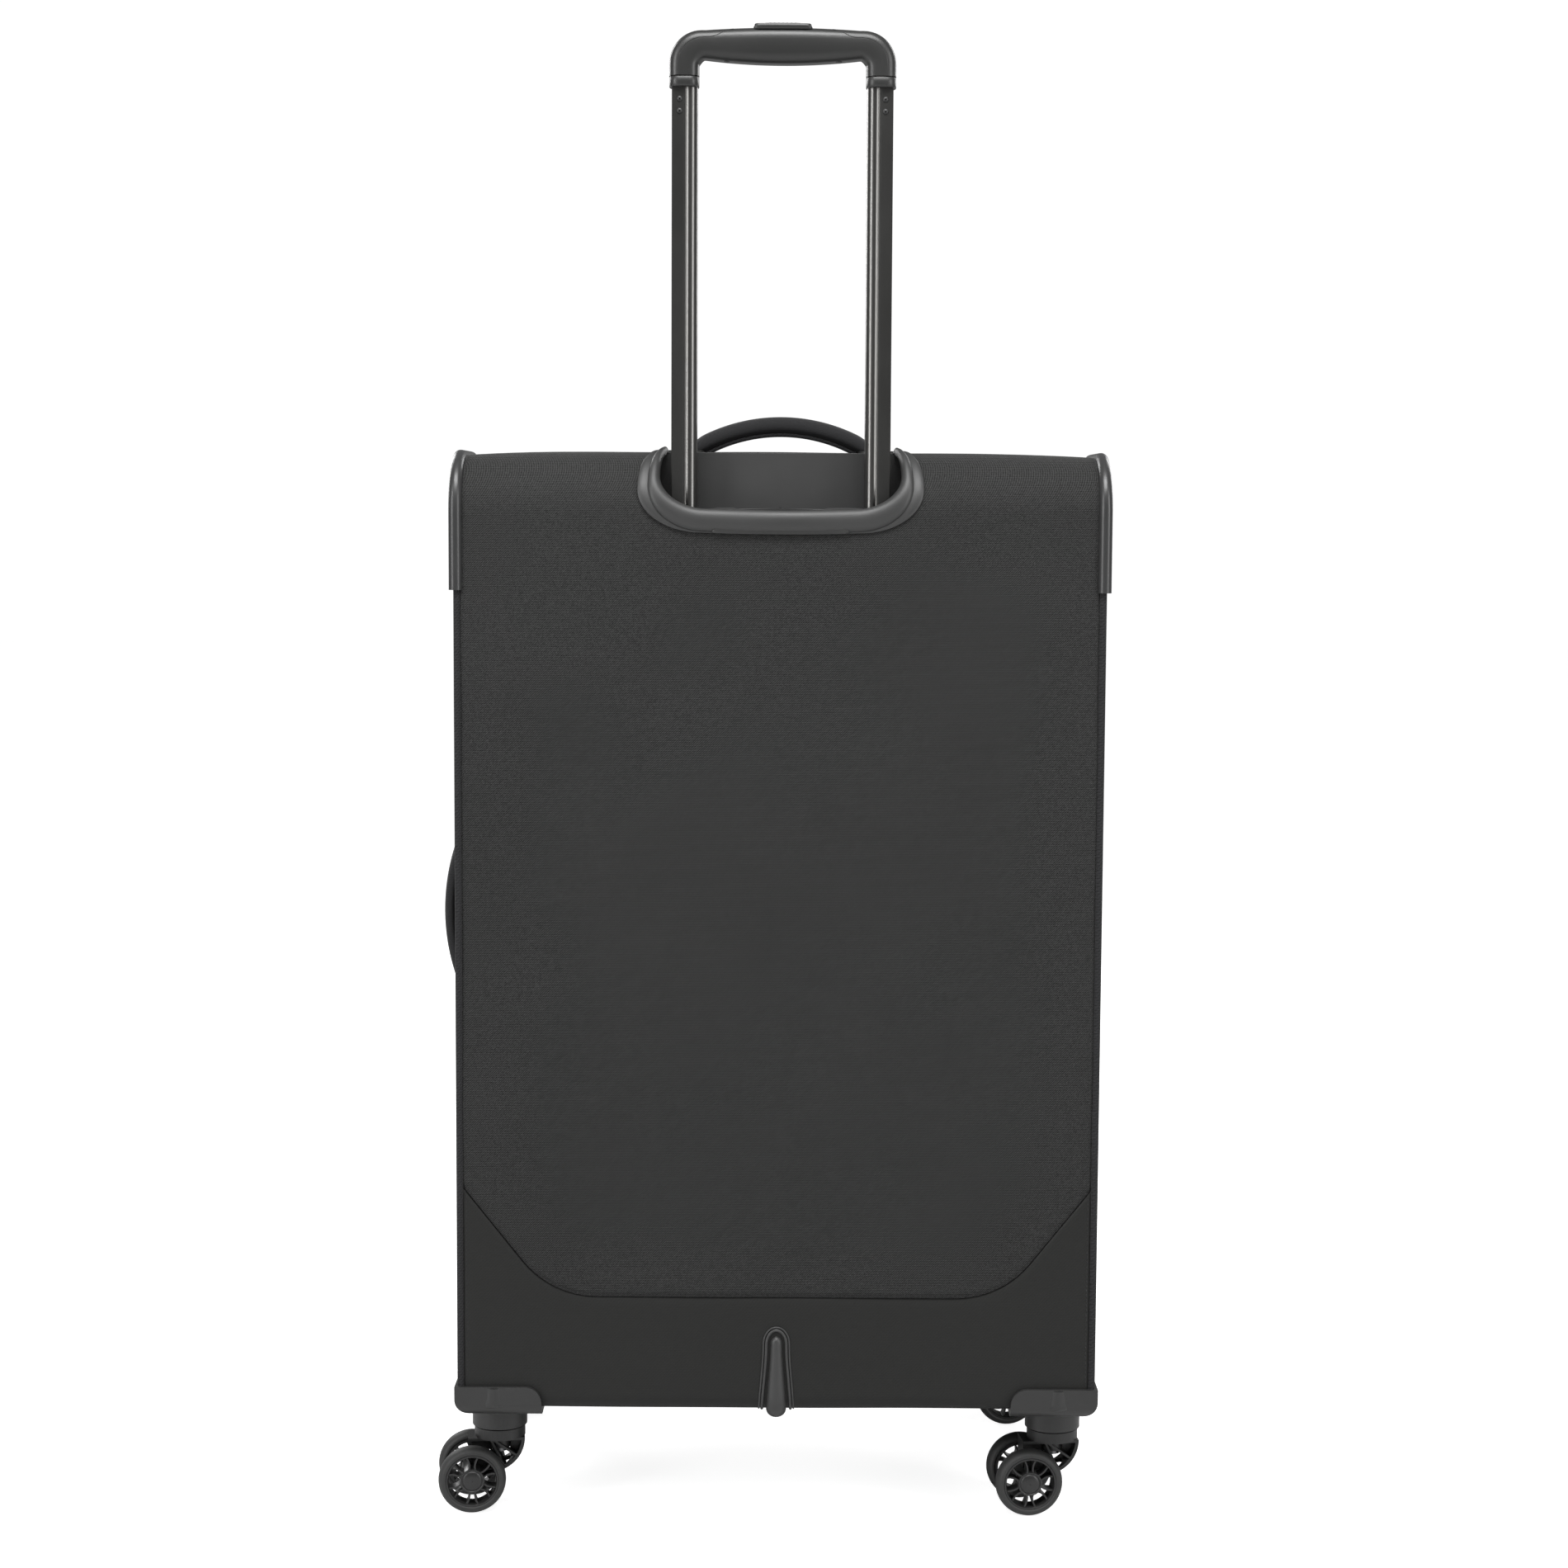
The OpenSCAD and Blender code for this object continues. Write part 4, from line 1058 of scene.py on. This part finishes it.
def puff(pad, cap_mm, voxel=0.006):
    """Swells a closed mesh as cloth under a little pressure, and keeps each point within the cap."""
    bpy.context.view_layer.update()
    work = bpy.data.objects.new("puff_work", pad.data.copy())
    bpy.context.scene.collection.objects.link(work)
    bpy.context.view_layer.objects.active = work
    work.data.remesh_voxel_size = voxel
    for o in bpy.context.selected_objects:
        o.select_set(False)
    work.select_set(True)
    bpy.ops.object.voxel_remesh()
    rest = [v.co.copy() for v in work.data.vertices]
    back = max(p.y for p in rest)
    pins = work.vertex_groups.new(name="pins")
    pins.add([i for i, p in enumerate(rest) if p.y > back - 0.004], 1.0, "REPLACE")
    cloth = work.modifiers.new("cloth", "CLOTH")
    cloth.settings.use_pressure = True
    cloth.settings.uniform_pressure_force = 4
    cloth.settings.vertex_group_mass = "pins"
    cloth.settings.effector_weights.gravity = 0
    cloth.settings.quality = 6
    cloth.point_cache.frame_start = 1
    cloth.point_cache.frame_end = 20
    for f in range(1, 21):
        bpy.context.scene.frame_set(f)
    shaped = work.evaluated_get(bpy.context.evaluated_depsgraph_get())
    moved = [v.co.copy() for v in shaped.data.vertices]
    work.modifiers.clear()
    mesh = work.data
    for i, v in enumerate(mesh.vertices):
        step = moved[i] - rest[i]
        if step.length > cap_mm * MM:
            step = step.normalized() * cap_mm * MM
        v.co = rest[i] + step
    bpy.context.scene.frame_set(1)
    mesh.materials.clear()
    for m in pad.data.materials:
        mesh.materials.append(m)
    mesh.shade_smooth()
    old = pad.data
    pad.data = mesh
    bpy.data.objects.remove(work)
    bpy.data.meshes.remove(old)
    soft = pad.modifiers.new("rounding", "SUBSURF")
    soft.levels = 1
    soft.render_levels = 1


def front_cord(name, outline, y, r, grow):
    """A closed cord round a pocket, on the lid's front."""
    line = []
    for a, b in zip(outline, outline[1:] + outline[:1]):
        length = math.dist(a, b)
        for t in spread(0, length, 6)[:-1]:
            k = t / max(1e-6, length)
            line.append((lerp(a[0], b[0], k), lerp(a[1], b[1], k)))
    rings = [[(x + d.y * (grow + r * c), y + r * s, z - d.x * (grow + r * c)) for c, s in circle(8)]
             for (x, z), d in along(line, closed=True)]
    shape = Shape()
    shape.add([p for ring in rings for p in ring], grid_faces(len(rings), 8, wrap_columns=True, wrap_rows=True))
    piece(name, shape, "lid", TAPE)


def teeth(shape, points, forward, across, up):
    """Coil teeth at each point: short bars across the zip."""
    for p in points:
        shape.add([Vector(p) + forward * (i * (0.45 if k > 0 else 0.6)) + across * (j * 1.5) + up * (k * 0.75)
                   for i in (-1, 1) for j in (-1, 1) for k in (-1, 1)], BOX_FACES, 1)


def main_zip():
    """Both halves of the main zip: tape and teeth up the right side, over the top and along the foot."""
    x_axis, y_axis, z_axis = [Vector(v) for v in ((1, 0, 0), (0, 1, 0), (0, 0, 1))]
    xs = spread(-HALF + 1, HALF, 8)
    tooth_xs = spread(-HALF + 3, HALF - 2, 2.4)
    for name, body, node, edge, away, end, foot, foot_h in (
            ("case_zip_tape", "case", "case_zip", SPLIT, 1, BODY_END, SILL, -5),
            ("lid_zip_tape", "lid", "lid_zips", SPLIT - 0.4, -1, LID_END, SILL + 0.4, 6)):
        shape = Shape()
        outer = edge + away * ZIP_TAPE
        row = edge + away * 1.2
        shape.loft([[(HALF + 0.1, edge, z), (HALF + 0.9, edge, z), (HALF + 0.8, outer, z), (HALF - 0.2, outer, z)]
                    for z in spread(SILL + 4, TOP - 1, 6)])
        shape.loft([[(x, edge, z), (x, edge, z + 0.9), (x, outer, z + 0.8), (x, outer, z - 0.2)]
                    for x, z in [(x, TOP + crown(x, end)) for x in xs]])
        teeth(shape, [(HALF + 1.0, row, z + away * 0.6) for z in spread(SILL + 6, TOP - 2, 2.4)],
              z_axis, y_axis, x_axis)
        teeth(shape, [(x + away * 0.6, row, TOP + 1.0 + crown(x, end)) for x in tooth_xs], x_axis, y_axis, z_axis)
        z0, z1 = sorted((foot, foot + foot_h))
        shape.loft([[(x, FRONT + 0.1, z0), (x, FRONT - 0.9, z0), (x, FRONT - 0.9, z1), (x, FRONT + 0.1, z1)]
                    for x in xs])
        shape.loft([[(HALF - 0.1, y, z0), (HALF + 0.9, y, z0), (HALF + 0.9, y, z1), (HALF - 0.1, y, z1)]
                    for y in spread(FRONT, SPLIT, 8)])
        teeth(shape, [(x + away * 0.6, FRONT - 1.0, foot - away) for x in tooth_xs], x_axis, z_axis, y_axis)
        if body == "lid":
            y = box("lid_zips")[0].y
            for low, high in (box("upper_pocket"), box("lower_pocket")):
                z = high.z - 15
                shape.loft([[(x, y + 2.2, z - 5), (x, y + 0.5, z - 5), (x, y + 0.5, z + 5), (x, y + 2.2, z + 5)]
                            for x in spread(low.x + 12, high.x - 12, 20)])
                for side in (-1, 1):
                    teeth(shape, [(x + side * 0.6, y + 0.4, z + side * 1.2)
                                  for x in spread(low.x + 14, high.x - 14, 2.4)], x_axis, z_axis, y_axis)
        piece(name, shape, body, [ZIP_CLOTH, TOOTH], (node,))


def slider_piece(name, node, body, place):
    """A zip slider's body: a crowned shield with a bridge for the pull tab."""
    shape = Shape()
    shape.loft([[place @ Vector((u * 5 * k * (0.82 + 0.18 * v), v * 7 * k, z)) for u, v in oval(3.2, 28)]
                for z, k in ((0, 0.9), (0.5, 1.0), (1.6, 1.0), (2.6, 0.9), (3.1, 0.7))])
    for x in (-3.2, 3.2):
        shape.block((x - 0.8, -2.6, 2.6), (x + 0.8, 2.6, 6.4), place)
    shape.loft([[place @ Vector((x, 0.95 * c, 5.4 + 0.95 * s)) for c, s in circle(12)] for x in (-3.9, 3.9)])
    piece(name, shape, body, GUNMETAL, (node,), bevel=0.25)


def tab_piece(name, body, place, covers=()):
    """A pull tab hanging along -Y from the origin of its place; one on a hinge pin has an eye."""
    length = 32
    neck = [(2.0, -1.6), (1.7, -5), (1.7, -9), (3.6, -12), (4.0, -15), (4.0, -length + 3), (3.2, -length + 0.8),
            (1.5, -length)]
    shape = Shape()
    rings = []
    for z, inset in ((-1.2, 0.35), (-0.85, 0), (0.85, 0), (1.2, 0.35)):
        right = [(x - inset, y) for x, y in neck]
        left = [(-x, y) for x, y in right[::-1]]
        rings.append([place @ Vector((x, y, z)) for x, y in right + left])
    shape.loft(rings)
    if covers:
        shape.loft([[place @ Vector((x, 1.9 * c, 1.9 * s)) for c, s in circle(16)] for x in (-2, 2)])
    piece(name, shape, body, GUNMETAL, covers, bevel=0.2)


def sliders():
    for level in ("upper", "lower"):
        low, high = box(f"main_slider_{level}")
        middle = Vector((low.x, (low.y + high.y) / 2, (low.z + high.z) / 2))
        face_right = Matrix.Translation(middle) @ Matrix(((0, 0, 1, 0), (1, 0, 0, 0), (0, 1, 0, 0), (0, 0, 0, 1)))
        slider_piece(f"zip_slider_{level}", f"main_slider_{level}", f"{level}_slider", face_right)
        tab_piece(f"zip_tab_{level}", f"{level}_tab", face_right @ Matrix.Translation((0, 0, 5.4)),
                  (f"pull_tab_{level}",))
        low, high = box(f"pocket_slider_{level}")
        middle = Vector(((low.x + high.x) / 2, high.y, high.z - 5))
        face_front = Matrix.Translation(middle) @ Matrix.Rotation(math.pi / 2, 4, "X")
        lying = face_front @ Matrix.Rotation(math.pi / 2, 4, "Z") @ Matrix.Scale(0.72, 4)
        slider_piece(f"pocket_zip_slider_{level}", f"pocket_slider_{level}", f"{level}_pocket_slider", lying)
        tab_piece(f"pocket_zip_tab_{level}", f"{level}_pocket_slider", face_front @ Matrix.Translation((0, 1, 4.3)))


def front():
    pocket("upper_pocket_pad", "upper_pocket", 5)
    pocket("lower_pocket_pad", "lower_pocket", 6)


# ---- Frame pieces that keep their CAD shape ----
def dress_frame():
    looks = {
        "frame_wires": STEEL, "back_board": BOARD, "back_lining": LINING, "outer_tubes": GUNMETAL,
        "tube_bracket": MATT, "wheel_housings": MATT, "kingpins": GUNMETAL, "push_rods": STEEL,
        "lock_bolt_left": STEEL, "lock_bolt_right": STEEL,
    }
    for name, obj in frame["nodes"].items():
        look = looks.get(name, DARK if name.startswith("fork_") else None)
        if look is None:
            continue
        obj.data.materials.clear()
        obj.data.materials.append(look)


# ---- Stage, lights and camera ----
def camera_level(tree, more, base):
    """A strength of base for light, and more on top where the camera sees the surface itself."""
    level = tree.nodes.new("ShaderNodeMath")
    level.operation = "MULTIPLY_ADD"
    tree.links.new(tree.nodes.new("ShaderNodeLightPath").outputs["Is Camera Ray"], level.inputs[0])
    level.inputs[1].default_value = more
    level.inputs[2].default_value = base
    return level.outputs["Value"]


def stage():
    mesh = bpy.data.meshes.new("floor")
    reach = 14
    mesh.from_pydata([(-reach, -reach, 0), (reach, -reach, 0), (reach, reach, 0), (-reach, reach, 0)], [],
                     [(0, 1, 2, 3)])
    floor = bpy.data.objects.new("floor", mesh)
    look = Look("pale_floor", (0.66, 0.66, 0.66), 0.9, specular=0.1)
    look.inputs["Emission Color"].default_value = (1, 1, 1, 1)
    look.tree.links.new(camera_level(look.tree, 0.84, 0), look.inputs["Emission Strength"])
    mesh.materials.append(look.material)
    bpy.context.scene.collection.objects.link(floor)
    world = bpy.data.worlds.new("studio")
    world.use_nodes = True
    background = world.node_tree.nodes["Background"].inputs
    background["Color"].default_value = (1, 1, 1, 1)
    world.node_tree.links.new(camera_level(world.node_tree, 0.8, 0.24), background["Strength"])
    bpy.context.scene.world = world


def light(name, at, target, size, power):
    lamp = bpy.data.lights.new(name, "AREA")
    lamp.shape = "RECTANGLE"
    lamp.size, lamp.size_y = size
    lamp.energy = power
    obj = bpy.data.objects.new(name, lamp)
    bpy.context.scene.collection.objects.link(obj)
    obj.location = at
    obj.rotation_euler = (Vector(target) - Vector(at)).to_track_quat("-Z", "Y").to_euler()


def lights():
    light("left_box", (2.3, 1.7, 1.3), (0, 0.1, 0.6), (0.6, 2.2), 44)
    light("right_box", (-2.3, 1.7, 1.3), (0, 0.1, 0.6), (0.6, 2.2), 36)
    light("top_box", (0, 1.3, 3.0), (0, 0.1, 0.5), (2.2, 1.0), 104)
    light("front_left", (1.8, -2.4, 1.8), (0, 0, 0.5), (0.8, 1.8), 40)
    light("front_right", (-1.8, -2.4, 1.8), (0, 0, 0.5), (0.8, 1.8), 30)


def camera():
    view = bpy.data.cameras.new("camera")
    view.sensor_width = 36
    view.lens = 67.0
    view.clip_end = 60
    obj = bpy.data.objects.new("camera", view)
    aim = Matrix.Rotation(math.pi, 4, "Z") @ Matrix.Rotation(math.radians(90 - 5.38), 4, "X")
    obj.matrix_world = Matrix.Translation((-0.0035, 2.256, 0.748)) @ aim @ Matrix.Rotation(math.radians(0.3), 4, "Z")
    bpy.context.scene.collection.objects.link(obj)
    bpy.context.scene.camera = obj


bpy.context.scene.view_settings.view_transform = "Standard"
for build in (camera, stage, lights, dress_frame, rear_skin, lower_skin, bottom_skin, side_skins, lining_tub,
              piping, guards, case_stitching, trolley_cup, cup_crescent, trolley_tubes, rivet_heads, grip,
              collars, button_parts, return_spring, wheels, housing_fairings, skid, handles, lid_skin, front,
              main_zip, sliders):
    build()
